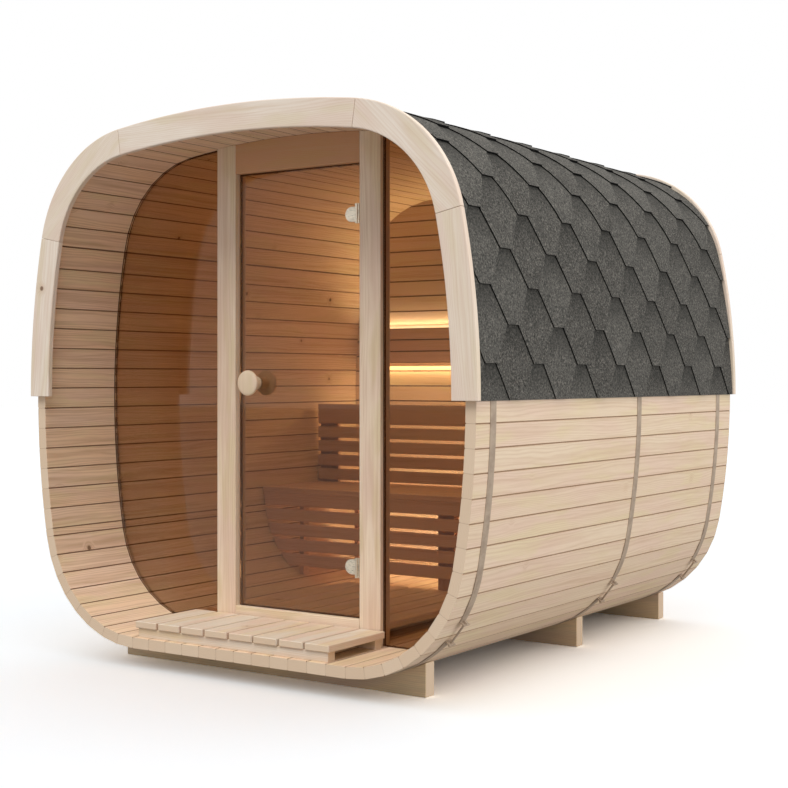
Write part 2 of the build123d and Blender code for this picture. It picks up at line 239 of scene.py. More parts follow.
def finished(name, mesh, slot, body, nodes, sharpAngle):
    # Faces are turned outwards, shaded smooth and kept crisp at edges sharper than the angle
    shape = bmesh.new()
    shape.from_mesh(mesh)
    bmesh.ops.recalc_face_normals(shape, faces=shape.faces)
    shape.to_mesh(mesh)
    shape.free()
    mesh.polygons.foreach_set("use_smooth", np.ones(len(mesh.polygons), dtype=bool))
    mesh.set_sharp_from_angle(angle=math.radians(sharpAngle))
    mesh.update()
    piece = bpy.data.objects.new(name, mesh)
    bpy.context.scene.collection.objects.link(piece)
    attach(piece, body)
    if nodes:
        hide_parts(*nodes)
    return piece


# Materials

class Nodes:
    # Short calls that add a node, set or link its inputs, and give back what comes out

    def __init__(self, owner):
        owner.use_nodes = True
        self.tree = owner.node_tree
        self.tree.nodes.clear()

    def feed(self, socket, value):
        if isinstance(value, bpy.types.NodeSocket):
            self.tree.links.new(value, socket)
        else:
            socket.default_value = (*value, 1) if socket.type == "RGBA" else value

    def add(self, kind, inputs=None, **fields):
        made = self.tree.nodes.new(f"ShaderNode{kind}")
        for field, value in fields.items():
            setattr(made, field, value)
        for socket, value in (inputs or {}).items():
            self.feed(made.inputs[socket], value)
        return made

    def calc(self, operation, *values, clamp=False):
        return self.add("Math", dict(enumerate(values)), operation=operation, use_clamp=clamp).outputs[0]

    def times(self, value, factor, clamp=False):
        return self.calc("MULTIPLY", value, factor, clamp=clamp)

    def timesPlus(self, value, factor, added):
        return self.calc("MULTIPLY_ADD", value, factor, added)

    def minus(self, value, less):
        return self.calc("SUBTRACT", value, less)

    def reach(self, x, y):
        # Square root of x squared plus y squared
        return self.calc("SQRT", self.calc("ADD", self.times(x, x), self.times(y, y)))

    def steps(self, value, low, high, outLow, outHigh, **fields):
        inputs = {"Value": value, "From Min": low, "From Max": high, "To Min": outLow, "To Max": outHigh}
        return self.add("MapRange", inputs, **fields).outputs["Result"]

    def between(self, value, low, high, outLow=0.0, outHigh=1.0):
        return self.steps(value, low, high, outLow, outHigh, interpolation_type="SMOOTHSTEP")

    def blend(self, share, first, second):
        return self.add("Mix", {0: share, 6: first, 7: second}, data_type="RGBA").outputs[2]

    def noise(self, place, scale, detail, **more):
        inputs = {"Vector": place, "Scale": scale, "Detail": detail, **more}
        return self.add("TexNoise", inputs).outputs["Fac"]

    def firstOf(self, colour):
        return self.add("SeparateColor", {0: colour}).outputs[0]

    def objectPlace(self):
        return self.add("TexCoord").outputs["Object"]

    def faceValue(self, name):
        return self.add("Attribute", attribute_name=name).outputs["Fac"]


class Finish(Nodes):
    # A material with one Principled node

    def __init__(self, name):
        self.material = bpy.data.materials.new(name)
        super().__init__(self.material)
        self.shader = self.add("BsdfPrincipled")
        self.add("OutputMaterial", {0: self.shader.outputs[0]})

    def grainPlace(self):
        # Metres along the grain and across it, and three numbers that differ from board to board
        parts = self.add("SeparateXYZ", {0: self.add("UVMap", uv_map="grain").outputs[0]})
        seed = self.faceValue("board")
        second, third = (self.calc("FRACT", self.times(seed, spread)) for spread in (57.31, 913.7))
        return parts.outputs[0], parts.outputs[1], seed, second, third

    def stretched(self, along, across, seed, alongScale, acrossScale):
        # Coordinates that are drawn out along the grain and differ on each board
        u = self.timesPlus(along, alongScale, self.times(seed, 71.0))
        v, w = self.times(across, acrossScale), self.times(seed, 23.0)
        return self.add("CombineXYZ", {0: u, 1: v, 2: w}).outputs[0]

    def grainNoise(self, along, across, seed, alongScale, acrossScale, detail):
        return self.noise(self.stretched(along, across, seed, alongScale, acrossScale), 1.0, detail)

    def dressed(self, inputs, height=None, strength=0.0, distance=0.0):
        # Feeds the shader, with a bump from a height where one is given
        if height is not None:
            bump = self.add("Bump", {"Height": height, "Strength": strength, "Distance": distance})
            self.feed(self.shader.inputs["Normal"], bump.outputs[0])
        for socket, value in inputs.items():
            self.feed(self.shader.inputs[socket], value)
        return self.material


def woodFinish(name, look):
    # Growth rings cut by the board's face: distance from a wandering pith, in rings per metre,
    # with dark late wood, fine fibres, knots that push the rings aside, and a tone for each board
    finish = Finish(name)
    times, minus, between, blend = finish.times, finish.minus, finish.between, finish.blend
    along, across, seed, second, third = finish.grainPlace()
    slow, ripple, fibre, cloud, drift, streak = (finish.grainNoise(along, across, *more) for more in (
        (seed, 1.1, 5.0, 3.0), (seed, 3.0, 40.0, 2.0), (seed, 9.0, 620.0, 2.0),
        (second, 1.8, 9.0, 2.0), (third, 2.6, 14.0, 3.0), (second, 1.4, 46.0, 4.0),
    ))
    knotPlace = finish.stretched(along, across, seed, look["knotsPerMetre"], look["knotsPerMetre"])
    knotCell = finish.add("TexVoronoi", {"Vector": knotPlace, "Scale": 1.0, "Randomness": 0.8})
    isKnot = finish.calc("GREATER_THAN", finish.firstOf(knotCell.outputs["Color"]), 1 - look["knotChance"])
    fromKnot = knotCell.outputs["Distance"]
    knot = times(isKnot, between(fromKnot, look["knotSize"], look["knotSize"] * 0.55))
    aside = times(isKnot, between(fromKnot, look["knotSize"] * 3.2, 0.0))
    pith = finish.timesPlus(minus(second, 0.5), 0.08, times(minus(slow, 0.5), look["wander"]))
    distance = finish.reach(minus(across, pith), finish.timesPlus(third, 0.05, 0.008))
    rings = finish.timesPlus(distance, look["ringsPerMetre"], times(ripple, 0.9))
    rings = finish.timesPlus(aside, 2.6, rings)
    lateWood = times(finish.calc("POWER", finish.calc("PINGPONG", rings, 0.5), 2.2), 4.6, clamp=True)
    tone = blend(seed, look["pale"], look["warm"])
    for share, colour in (
        (between(cloud, 0.40, 0.64, 0.0, look["cloudShare"]), "blush"),
        (between(drift, 0.48, 0.66, 0.0, look["cloudShare"]), "straw"),
        (times(lateWood, look["ringShare"]), "late"),
        (between(fibre, 0.35, 0.75, 0.0, look["fibreShare"]), "late"),
        (between(streak, 0.48, 0.72, 0.0, look["streakShare"]), "late"),
        (times(aside, look["haloShare"]), "late"),
        (times(knot, 0.85), "knot"),
        (times(finish.faceValue("joint"), look["jointShare"]), "jointTone"),
    ):
        tone = blend(share, tone, look[colour])
    rough = between(fibre, 0.2, 0.8, look["rough"] - 0.08, look["rough"] + 0.08)
    return finish.dressed(
        {"Base Color": tone, "Roughness": rough, "Specular IOR Level": look["shine"]},
        finish.timesPlus(lateWood, 0.5, fibre), look["relief"], 0.0006,
    )


def endGrainFinish(name, look):
    # Ring arcs round a pith that lies off the board, with fine pores, a little darker than the face
    finish = Finish(name)
    times, minus, between = finish.times, finish.minus, finish.between
    sideways, thick, seed, second, third = finish.grainPlace()
    x = minus(sideways, times(minus(second, 0.5), 0.12))
    y = finish.calc("ADD", thick, finish.timesPlus(third, 0.06, 0.03))
    warp = finish.grainNoise(sideways, thick, seed, 30.0, 30.0, 2.0)
    pores = finish.grainNoise(sideways, thick, seed, 900.0, 900.0, 2.0)
    rings = finish.timesPlus(finish.reach(x, y), look["ringsPerMetre"] * 1.1, warp)
    lateWood = times(finish.calc("POWER", finish.calc("PINGPONG", rings, 0.5), 2.0), 3.6, clamp=True)
    tone = finish.blend(seed, look["endPale"], look["endWarm"])
    tone = finish.blend(times(lateWood, look["ringShare"] * 1.2), tone, look["late"])
    tone = finish.blend(between(pores, 0.4, 0.75, 0.0, 0.2), tone, look["late"])
    return finish.dressed(
        {"Base Color": tone, "Roughness": between(pores, 0.2, 0.8, 0.72, 0.88), "Specular IOR Level": 0.2},
        finish.timesPlus(lateWood, 0.4, pores), 0.2, 0.0006,
    )


def shingleFinish(name, look):
    # Mineral granules: light and dark grains under a millimetre or two, a tone for each tab, a painted
    # shade that is darkest just below the tab above, and butts painted near black as their shadow
    finish = Finish(name)
    between, blend = finish.between, finish.blend
    _, upSlope, _, second, _ = finish.grainPlace()
    place = finish.objectPlace()
    grains = finish.add("TexVoronoi", {"Vector": place, "Scale": look["grainsPerMetre"]})
    dust = finish.noise(place, 95.0, 4.0, Roughness=0.7)
    cloud = finish.noise(place, 14.0, 3.0)
    speckle = finish.noise(place, look["specklesPerMetre"], 3.0, Roughness=0.75)
    tone = blend(between(finish.firstOf(grains.outputs["Color"]), 0.1, 0.95), look["dark"], look["light"])
    tone = blend(between(dust, 0.42, 0.70, 0.0, 0.55), tone, look["warm"])
    tone = blend(between(cloud, 0.40, 0.65, 0.0, 0.30), tone, look["dark"])
    tone = blend(between(second, 0.0, 1.0, 0.0, 0.35), tone, look["light"])
    tone = blend(between(speckle, 0.50, 0.68, 0.0, 0.85), tone, look["bright"])
    tone = blend(between(speckle, 0.50, 0.33, 0.0, 0.85), tone, look["deep"])
    # Painted shade: each tab darkens towards the tab above it, where that tab's shadow falls
    shade = between(upSlope, look["paintedShadeFrom"], look["paintedShadeTo"], 0.0, look["paintedShadeShare"])
    tone = blend(shade, tone, look["deep"])
    # Butts, undersides and cap ends are painted near black: painted shadow along the tabs' edges
    tone = blend(finish.faceValue("joint"), tone, look["butt"])
    return finish.dressed(
        {"Base Color": tone, "Roughness": 0.92, "Specular IOR Level": 0.2},
        finish.timesPlus(dust, 0.6, grains.outputs["Distance"]), 0.5, 0.0012,
    )


def steelFinish(name, look):
    # Rolled or brushed steel: fine scratches drawn out across the band, spangle and dull patches
    finish = Finish(name)
    place = finish.objectPlace()
    scratch = finish.noise(finish.add("Mapping", {0: place, 3: look["drawnOut"]}).outputs[0], 1.0, 3.0)
    patch = finish.noise(place, 24.0, 3.0)
    tone = finish.blend(finish.between(patch, 0.35, 0.7), look["bright"], look["dull"])
    tone = finish.blend(finish.between(scratch, 0.45, 0.8, 0.0, 0.4), tone, look["dull"])
    rough = finish.between(scratch, 0.25, 0.75, look["rough"] - 0.08, look["rough"] + 0.1)
    inputs = {"Base Color": tone, "Roughness": rough, "Metallic": look["metal"]}
    return finish.dressed(inputs, scratch, 0.12, 0.0004)


def rubberFinish(name, look):
    # Matt rubber with a faint dusty bloom
    finish = Finish(name)
    bloom = finish.noise(finish.objectPlace(), 60.0, 4.0)
    tone = finish.blend(finish.between(bloom, 0.4, 0.7), look["dark"], look["dusty"])
    rough = finish.between(bloom, 0.3, 0.7, 0.65, 0.85)
    inputs = {"Base Color": tone, "Roughness": rough, "Specular IOR Level": 0.06}
    return finish.dressed(inputs, bloom, 0.1, 0.0004)


def glassFinish(name, look):
    # A tinted pane: what lies behind shows through the tint, with a mirror-like sheen by Fresnel
    # that is weaker higher up, where less of the bright deck is mirrored
    material = bpy.data.materials.new(name)
    nodes = Nodes(material)
    clear = nodes.add("BsdfTransparent", {"Color": look["tint"]})
    sheen = nodes.add("BsdfGlossy", {"Color": (1, 1, 1), "Roughness": 0.02})
    height = nodes.add("SeparateXYZ", {0: nodes.objectPlace()}).outputs[2]
    haze = nodes.steps(height, 0.5, 1.5, look["lowSheen"], look["highSheen"])
    share = nodes.times(nodes.add("Fresnel", {"IOR": 1.45}).outputs[0], haze)
    mixed = nodes.add("MixShader", {0: share, 1: clear.outputs[0], 2: sheen.outputs[0]})
    nodes.add("OutputMaterial", {0: mixed.outputs[0]})
    return material


def lightFinish(name, look):
    # A lit diffuser: warm light that wavers a little along the strip
    finish = Finish(name)
    spread = finish.noise(finish.objectPlace(), 18.0, 1.0)
    tone = finish.blend(finish.between(spread, 0.3, 0.7), look["core"], look["edge"])
    return finish.dressed({"Base Color": tone, "Emission Color": tone, "Emission Strength": look["strength"],
                           "Roughness": 0.4})


paleWood = {
    "pale": (0.81, 0.665, 0.50), "warm": (0.77, 0.60, 0.44), "blush": (0.78, 0.585, 0.465),
    "straw": (0.76, 0.62, 0.41), "late": (0.60, 0.40, 0.25), "endPale": (0.82, 0.66, 0.50),
    "endWarm": (0.77, 0.60, 0.44), "jointTone": (0.33, 0.19, 0.105), "jointShare": 0.8,
    "knot": (0.17, 0.085, 0.045), "haloShare": 0.45, "knotsPerMetre": 8.5, "knotChance": 0.11,
    "knotSize": 0.115, "ringsPerMetre": 140.0, "ringShare": 0.36, "streakShare": 0.3, "fibreShare": 0.22,
    "cloudShare": 0.85, "wander": 0.075, "rough": 0.58, "shine": 0.3, "relief": 0.16,
}
brownWood = {
    **paleWood,
    "pale": (0.71, 0.50, 0.395), "warm": (0.64, 0.425, 0.325), "blush": (0.67, 0.44, 0.355),
    "straw": (0.655, 0.452, 0.31), "late": (0.41, 0.225, 0.127), "knot": (0.12, 0.05, 0.03),
    "endPale": (0.46, 0.29, 0.18), "endWarm": (0.40, 0.25, 0.155), "jointTone": (0.08, 0.04, 0.025),
    "jointShare": 0.9, "knotChance": 0.04,
}


def wood(name, base=paleWood, **changes):
    return woodFinish(name, {**base, **changes})


shellWood = wood(
    "shellWood", pale=(0.87, 0.725, 0.55), warm=(0.83, 0.655, 0.485), blush=(0.84, 0.64, 0.51),
    straw=(0.82, 0.68, 0.455),
)
innerWood = wood(
    "innerWood", pale=(0.93, 0.72, 0.515), warm=(0.89, 0.65, 0.455), blush=(0.86, 0.645, 0.505),
    straw=(0.84, 0.68, 0.445), late=(0.54, 0.34, 0.19), jointTone=(0.20, 0.095, 0.045), jointShare=0.85,
    streakShare=0.42, ringShare=0.5, knotChance=0.10,
)
fasciaWood = wood(
    "fasciaWood", pale=(0.90, 0.80, 0.70), warm=(0.86, 0.745, 0.62), blush=(0.84, 0.69, 0.585),
    straw=(0.82, 0.71, 0.55), streakShare=0.12, ringShare=0.24, knotChance=0.012, jointShare=0.0,
)
frameWood = wood(
    "frameWood", pale=(0.92, 0.78, 0.625), warm=(0.89, 0.73, 0.565), knotChance=0.05, jointShare=0.0,
)
# A darker, redder copy of the frame wood for the header: painted shade, as it sits in the shade of the porch
# ceiling
headerWoodPaintedShade = wood(
    "headerWoodPaintedShade", pale=(0.62, 0.335, 0.165), warm=(0.58, 0.305, 0.145), blush=(0.60, 0.31, 0.17),
    straw=(0.58, 0.32, 0.14), knotChance=0.05, jointShare=0.0,
)
deckWood = wood(
    "deckWood", pale=(0.80, 0.73, 0.63), warm=(0.77, 0.67, 0.55), knotChance=0.05, jointShare=0.0,
)
roomWood = wood(
    "roomWood", pale=(0.78, 0.60, 0.43), warm=(0.74, 0.545, 0.375), late=(0.54, 0.34, 0.19),
    jointTone=(0.13, 0.055, 0.03), jointShare=0.95, streakShare=0.5,
)
# A lighter copy of the room wood for the room's slats: painted light on the floor
floorWoodPaintedLight = wood(
    "floorWoodPaintedLight", pale=(0.92, 0.72, 0.52), warm=(0.87, 0.655, 0.455), late=(0.58, 0.37, 0.21), jointShare=0.0,
    streakShare=0.45,
)
cradleWood = wood("cradleWood", pale=(0.97, 0.755, 0.48), warm=(0.94, 0.71, 0.44), rough=0.75, jointShare=0.0)
knobWood = wood(
    "knobWood", pale=(0.84, 0.68, 0.50), warm=(0.82, 0.64, 0.46), knotChance=0.0, rough=0.42, shine=0.45,
    jointShare=0.0, ringShare=0.22,
)
benchWood = wood("benchWood", brownWood)
# A lighter copy of the bench wood for the seat and the skirt: painted light, as they are lit more from the
# front
seatWoodPaintedLight = wood(
    "seatWoodPaintedLight", brownWood, pale=(0.84, 0.59, 0.465), warm=(0.76, 0.505, 0.385), blush=(0.79, 0.52, 0.42),
    straw=(0.775, 0.535, 0.365), late=(0.49, 0.27, 0.155),
)
paleEnd = endGrainFinish("paleEndGrain", paleWood)
brownEnd = endGrainFinish("brownEndGrain", brownWood)
shingleGrit = shingleFinish("shingleGrit", {
    "dark": (0.030, 0.030, 0.027), "light": (0.135, 0.131, 0.119), "warm": (0.106, 0.090, 0.079),
    # butt is the near-black painted shadow on the butts; the painted shade keys darken each tab below the one
    # above
    "deep": (0.022, 0.022, 0.020), "bright": (0.230, 0.214, 0.190), "butt": (0.006, 0.006, 0.006),
    "grainsPerMetre": 420.0, "specklesPerMetre": 120.0, "paintedShadeFrom": 0.14, "paintedShadeTo": 0.27, "paintedShadeShare": 0.5,
})
strapSteel = steelFinish("strapSteel", {
    "bright": (0.52, 0.41, 0.31), "dull": (0.42, 0.32, 0.24), "rough": 0.55, "metal": 0.3,
    "drawnOut": (900.0, 40.0, 40.0),
})
hingeSteel = steelFinish("hingeSteel", {
    "bright": (0.84, 0.76, 0.62), "dull": (0.68, 0.60, 0.48), "rough": 0.32, "metal": 0.7,
    "drawnOut": (60.0, 60.0, 900.0),
})
sealRubber = rubberFinish("sealRubber", {"dark": (0.105, 0.044, 0.020), "dusty": (0.125, 0.060, 0.032)})
bronzeTint = (0.79, 0.718, 0.65)
bronzeGlass = glassFinish("bronzeGlass", {"tint": bronzeTint, "lowSheen": 0.50, "highSheen": 0.15})
doorGlass = glassFinish("doorGlass", {"tint": bronzeTint, "lowSheen": 0.72, "highSheen": 0.26})
stripLight = lightFinish("stripLight", {
    "core": (1.0, 0.84, 0.54), "edge": (1.0, 0.78, 0.46), "strength": 1.7,
})
print("stage: materials made")

# Shell of staves
staves = {
    "sidePitch": 0.0888,      # full staves from the start of a side, a narrow one closes it
    "pitch": 0.0895,          # staves in the corners, crown and floor share their stretch evenly
    "bevel": 0.0029,
    "overlap": 0.0002,        # sides pressed together, so that no light gets through
    "endBevel": 0.0006,
    "leftRunOn": 0.022,       # the left upper corner's last stave runs on past the tangent
    "leftFirst": 0.1205,      # the next joint of the left wall
    "leftPitch": 0.0880,
    "narrowest": 0.02,
}


def staveBreaks(name, length):
    # Shares of the stretch at which the joints lie
    if name == "rightSide":
        joints = np.arange(0, length - staves["sidePitch"] / 3, staves["sidePitch"])
        return np.append(joints, length) / length
    if name == "leftSide":
        joints = np.arange(staves["leftFirst"], length - staves["narrowest"], staves["leftPitch"])
        return np.concatenate([[staves["leftRunOn"]], joints, [length]]) / length
    if name == "leftUpper":
        return np.linspace(0, 1 + staves["leftRunOn"] / length, round(length / staves["pitch"]) + 1)
    return np.linspace(0, 1, round(length / staves["pitch"]) + 1)


def staveGroup(name):
    # Each stave's section: four corners on the outer and inner lines, drawn in by half the gap,
    # then every corner cut by the bevel, and the whole carried from the front to the rear
    if name == "floor":
        breaks = staveBreaks(name, 2 * lowerX)
        outer, inner = floorPoint(breaks, 0.0), floorPoint(breaks, -staveThickness)
    else:
        radius, first, last = stretches[name][2:]
        breaks = staveBreaks(name, radius * (last - first))
        outer, inner = arcPoint(name, breaks, 0.0), arcPoint(name, breaks, -staveThickness)
    corners = np.stack([outer[:-1], outer[1:], inner[1:], inner[:-1]], 1)
    side = outer[1:] - outer[:-1]
    side /= np.linalg.norm(side, axis=1, keepdims=True)
    thick = np.stack([-side[:, 1], side[:, 0]], -1)
    corners += np.array([1, -1, -1, 1])[None, :, None] * side[:, None] * -staves["overlap"] / 2
    before = np.roll(corners, 1, 1) - corners
    after = np.roll(corners, -1, 1) - corners
    before /= np.linalg.norm(before, axis=2, keepdims=True)
    after /= np.linalg.norm(after, axis=2, keepdims=True)
    cut = np.stack([corners + way * staves["bevel"] for way in (before, after)], 2).reshape(len(side), 8, 2)
    middle = cut.mean(1, keepdims=True)
    local = np.stack([((cut - middle) * axis[:, None]).sum(-1) for axis in (side, thick)], -1)
    bevel = staves["endBevel"]
    depth = np.array([shellFront, shellFront + bevel, shellBack - bevel, shellBack])
    drawn = 1 - 2 * bevel / np.ptp(local, axis=1)[:, None, None]
    scale = np.concatenate([drawn, np.ones_like(drawn), np.ones_like(drawn), drawn], 1)
    moved = local[:, None] * scale
    flat = middle[:, None] + moved[..., :1] * side[:, None, None] + moved[..., 1:] * thick[:, None, None]
    rings = np.empty((*flat.shape[:3], 3))
    rings[..., 0], rings[..., 2] = flat[..., 0], flat[..., 1]
    rings[..., 1] = depth[None, :, None]
    # Going round: bevel, outer face, bevel, side, bevel, inner face, bevel, side
    return {"rings": rings, "outline": local, "edgeJoints": np.array([1, 0, 1, 1, 1, 0, 1, 1]),
            "edgeKinds": np.array([0, 0, 0, 0, 2, 2, 2, 2])}


boardMesh(
    "shellStaves", [staveGroup(name) for name in [*stretches, "floor"]],
    [shellWood, paleEnd, innerWood], "shell_wood",
    nodes=["shell_floor", "shell_lower_left", "shell_lower_right", "shell_left_wall", "shell_right_wall",
           "shell_upper_left", "shell_upper_right", "shell_ceiling"],
)
print("stage: shell staves")

# Roof of hexagonal shingles, laid in rows from the waist to the ridge on both sides
shingles = {
    "tabPitch": 0.3565,
    "exposure": 0.1413,
    "flat": 0.084,
    "firstRow": -0.0078,      # the lowest row's butts, below the eave that cuts it
    "firstFlat": -1.157,      # where the flat of a tab in an odd row starts, along the sauna
    "butt": 0.0125,           # height of a butt's face over the shell
    "thickness": 0.005,
    "measured": 0.006,        # height over the shell at which the rows' distances are measured
    "laps": (0, 0.25, 0.5, 0.75, 1.0, 1.03, 1.35, 1.7, 2.08),      # in exposures, up from the butt
    "narrowest": 0.004,
    "edge": 0.001,            # from the shell's ends
    "lowest": 0.0001,         # over the shell
    "lift": 0.0003,
    "capReach": 0.13,
    "capLength": 0.30,
    "capExposure": 0.145,
    "capButt": 0.0155,
    "capPoints": 9,
}


# Lengths along the roof's arcs from the waist to the ridge
sideRun, cornerRun, crownRun = (
    section[name] + shingles["measured"] for name in ("sideRadius", "cornerRadius", "crownRadius")
)
legLength, cornerLength = sideRun * upperTurn, cornerRun * (crownTurn - upperTurn)
ridgeDistance = legLength + cornerLength + crownRun * (math.pi / 2 - crownTurn)


def roofPoint(distance, height):
    # Up from the waist: along the side's arc, then the corner's, then the crown's to the middle
    arcs = [distance < legLength, distance < legLength + cornerLength]
    onCorner = upperTurn + (distance - legLength) / cornerRun
    onCrown = crownTurn + (distance - legLength - cornerLength) / crownRun
    angle = np.select(arcs, [distance / sideRun, onCorner], onCrown)
    x = np.select(arcs, [sideX, upperX], 0.0)
    z = np.select(arcs, [waist, upperZ], crownZ)
    radius = np.select(arcs, [section["sideRadius"], cornerRadius], section["crownRadius"]) + height
    return x + radius * np.cos(angle), z + radius * np.sin(angle)


def shingleRow(row, mirror):
    # A tab's outline widens from its flat to full width over one exposure, then runs on under the
    # rows above. Its face drops by one thickness for each exposure, so that the rows lap.
    size = shingles
    base = size["firstRow"] + row * size["exposure"]
    slant = size["tabPitch"] / 2 - size["flat"]
    steps = np.array(size["laps"]) * size["exposure"]
    grow = np.clip(steps / size["exposure"], 0, 1) * slant
    grow[steps > size["exposure"]] = (size["tabPitch"] - size["flat"]) / 2
    start = size["firstFlat"] + (0 if row % 2 else size["tabPitch"] / 2)
    count = math.ceil((shellBack - shellFront) / size["tabPitch"]) + 2
    lefts = start + np.arange(-1, count) * size["tabPitch"]
    isOn = lefts + size["flat"] + slant > shellFront + size["narrowest"]
    lefts = lefts[isOn & (lefts - slant < shellBack - size["narrowest"])]
    distance = np.clip(base + steps, 0, ridgeDistance)
    level = distance - base
    widen = np.interp(level, steps, grow)
    edges = shellFront + size["edge"], shellBack - size["edge"]
    left = np.clip(lefts[:, None] - widen, *edges)
    right = np.clip(lefts[:, None] + size["flat"] + widen, *edges)
    keep = (right - left).max(1) > size["narrowest"]
    left, right = left[keep], right[keep]
    face = size["butt"] - size["thickness"] * level / size["exposure"]
    under = np.maximum(face - size["thickness"], size["lowest"])
    lift = chance.uniform(-size["lift"], size["lift"], len(left))[:, None]
    heights = np.stack([face + lift, face + lift, under + 0 * lift, under + 0 * lift], -1)
    x, z = roofPoint(distance[None, :, None], heights)
    y = np.stack([left, right, right, left], -1)
    rings = np.stack([x * (-1 if mirror else 1), y, z], -1)
    outline = np.zeros((len(left), 4, 2))
    upSlope = np.broadcast_to(level[None, :, None], y.shape)
    # Going round: face, rear butt, underside, front butt
    # Faces marked 1 get the near-black painted shadow of the butts
    return {"rings": rings, "outline": outline, "grain": np.stack([y, upSlope], -1),
            "edgeJoints": np.array([0, 1, 1, 1]), "capJoint": 1}


def ridgeCaps():
    # Plain strips bent over the ridge, each lapping the one in front of it
    size = shingles
    starts = np.arange(shellFront + size["edge"], shellBack - size["capExposure"] / 2, size["capExposure"])
    ends = np.minimum(starts + size["capLength"], shellBack - size["edge"])
    share = np.linspace(0, 1, 3)
    x = np.linspace(-size["capReach"], size["capReach"], size["capPoints"])
    across = np.concatenate([x, x[::-1]])
    isFace = np.repeat([1.0, 0.0], size["capPoints"])
    y = starts[:, None] + (ends - starts)[:, None] * share
    height = size["capButt"] - (y - starts[:, None]) * size["thickness"] / size["capExposure"]
    level = np.maximum(height[..., None] - (1 - isFace) * size["thickness"], size["lowest"])
    z = ceilingAt(across, 0.0) + level
    rings = np.stack([np.broadcast_to(across, z.shape), np.broadcast_to(y[..., None], z.shape), z], -1)
    outline = np.zeros((len(starts), len(across), 2))
    back = np.broadcast_to((y - starts[:, None])[..., None], z.shape)
    return {"rings": rings, "outline": outline, "grain": np.stack([rings[..., 0], back], -1), "capJoint": 1}


rowCount = math.ceil((ridgeDistance - shingles["firstRow"]) / shingles["exposure"])
boardMesh(
    "roofShingles",
    [shingleRow(row, mirror) for mirror in (False, True) for row in range(-1, rowCount)] + [ridgeCaps()],
    [shingleGrit, shingleGrit], "shingle", nodes=["roof_covering"],
)
print("stage: roof shingles")

# Fascia arches: boards cut to the section's arcs, butted at the tangents
fascia = {
    "inner": -0.090, "outer": 0.020, "round": 0.004, "jointGap": 0.0014, "taper": 0.0012, "step": 0.025,
    "tones": {"rightSide": 0.97, "rightUpper": 0.06, "crown": 0.12, "leftUpper": 0.45, "leftSide": 0.28},
}


def fasciaBoard(stretch, front, back):
    # A rounded board's section stood on the arc: radius plus a outwards, b along the sauna.
    # The lowest boards end at the waist.
    x, z, radius, begin, end = stretches[stretch]
    begin, end = max(begin, 0.0), min(end, math.pi)
    width, thickness = fascia["outer"] - fascia["inner"], back - front
    outline = roundedSection(width, thickness, fascia["round"])
    centreline = radius + (fascia["outer"] + fascia["inner"]) / 2
    inset, taper = fascia["jointGap"] / 2 / centreline, fascia["taper"] / centreline
    begin, end = begin + inset, end - inset
    count = max(6, round((end - begin) * centreline / fascia["step"]))
    angle = np.concatenate([[begin], np.linspace(begin + taper, end - taper, count), [end]])
    scale = np.ones((len(angle), 2))
    scale[[0, -1]] = 1 - 2 * fascia["taper"] / np.array([width, thickness])
    local = outline[None] * scale[:, None]
    reach = centreline + local[..., 0]
    turn = angle[:, None]
    y = (front + back) / 2 + local[..., 1]
    rings = np.stack([x + reach * np.cos(turn), y, z + reach * np.sin(turn)], -1)
    middle = (begin + end) / 2
    chord = np.array([-math.sin(middle), 0, math.cos(middle)])
    out = np.array([math.cos(middle), 0, math.sin(middle)])
    centre = np.array([x + centreline * math.cos(middle), 0, z + centreline * math.sin(middle)])
    grain = np.stack([(rings - centre) @ chord, (rings - centre) @ out + local[..., 1]], -1)
    return {"rings": rings[None], "outline": outline[None], "grain": grain[None],
            "seed": np.array([fascia["tones"][stretch]])}


for end in ("front", "rear"):
    low, high = span(f"{end}_fascia_legs")
    boardMesh(
        f"{end}Fascia", [fasciaBoard(stretch, low[1], high[1]) for stretch in fascia["tones"]],
        [fasciaWood, paleEnd], "frame_wood",
        nodes=[f"{end}_fascia_legs", f"{end}_fascia_corners", f"{end}_fascia_top"],
    )
print("stage: fascia arches")

# Cradles: a flat foot, upright ends and a top cut to the shell
cradle = {"round": 0.004, "endBevel": 0.002, "endWidth": 0.93, "stations": 49, "gap": 0.0003, "height": 0.13}
for name in ("front", "middle", "rear"):
    low, high = span(f"{name}_cradle")
    outline = roundedSection(high[1] - low[1], 1.0, cradle["round"])
    bevel = cradle["endBevel"]
    along = np.linspace(low[0] + bevel, high[0] - bevel, cradle["stations"])
    x = np.concatenate([[low[0]], along, [high[0]]])
    # The shell's underside from the lower corner's circle, and the flat floor between the corners
    past = np.clip(np.abs(x) - lowerX, 0, None)
    top = lowerZ - np.sqrt((cornerRadius + cradle["gap"]) ** 2 - past**2)
    isEnd = np.zeros((len(x), 1), dtype=bool)
    isEnd[[0, -1]] = True
    thick = outline[None, :, 0] * np.where(isEnd, cradle["endWidth"], 1.0)
    # The outline's upper half lies on the shell, its lower half on the ground
    half = np.where(outline[:, 1] > 0, 0.5, -0.5)[None]
    drawnIn = (np.abs(half) - np.abs(outline[None, :, 1])) + np.where(isEnd, bevel, 0.0)
    z = np.where(half > 0, top[:, None], 0.0) - np.sign(half) * drawnIn
    rings = np.stack([np.broadcast_to(x[:, None], z.shape), (low[1] + high[1]) / 2 + thick, z], -1)
    grain = np.stack([rings[..., 0], rings[..., 2] - cradle["height"] / 2 + rings[..., 1]], -1)
    group = {"rings": rings[None], "outline": (outline * [1, cradle["height"]])[None], "grain": grain[None]}
    boardMesh(f"{name}Cradle", [group], [cradleWood, paleEnd], "cradle_wood", nodes=[f"{name}_cradle"])
print("stage: cradles")

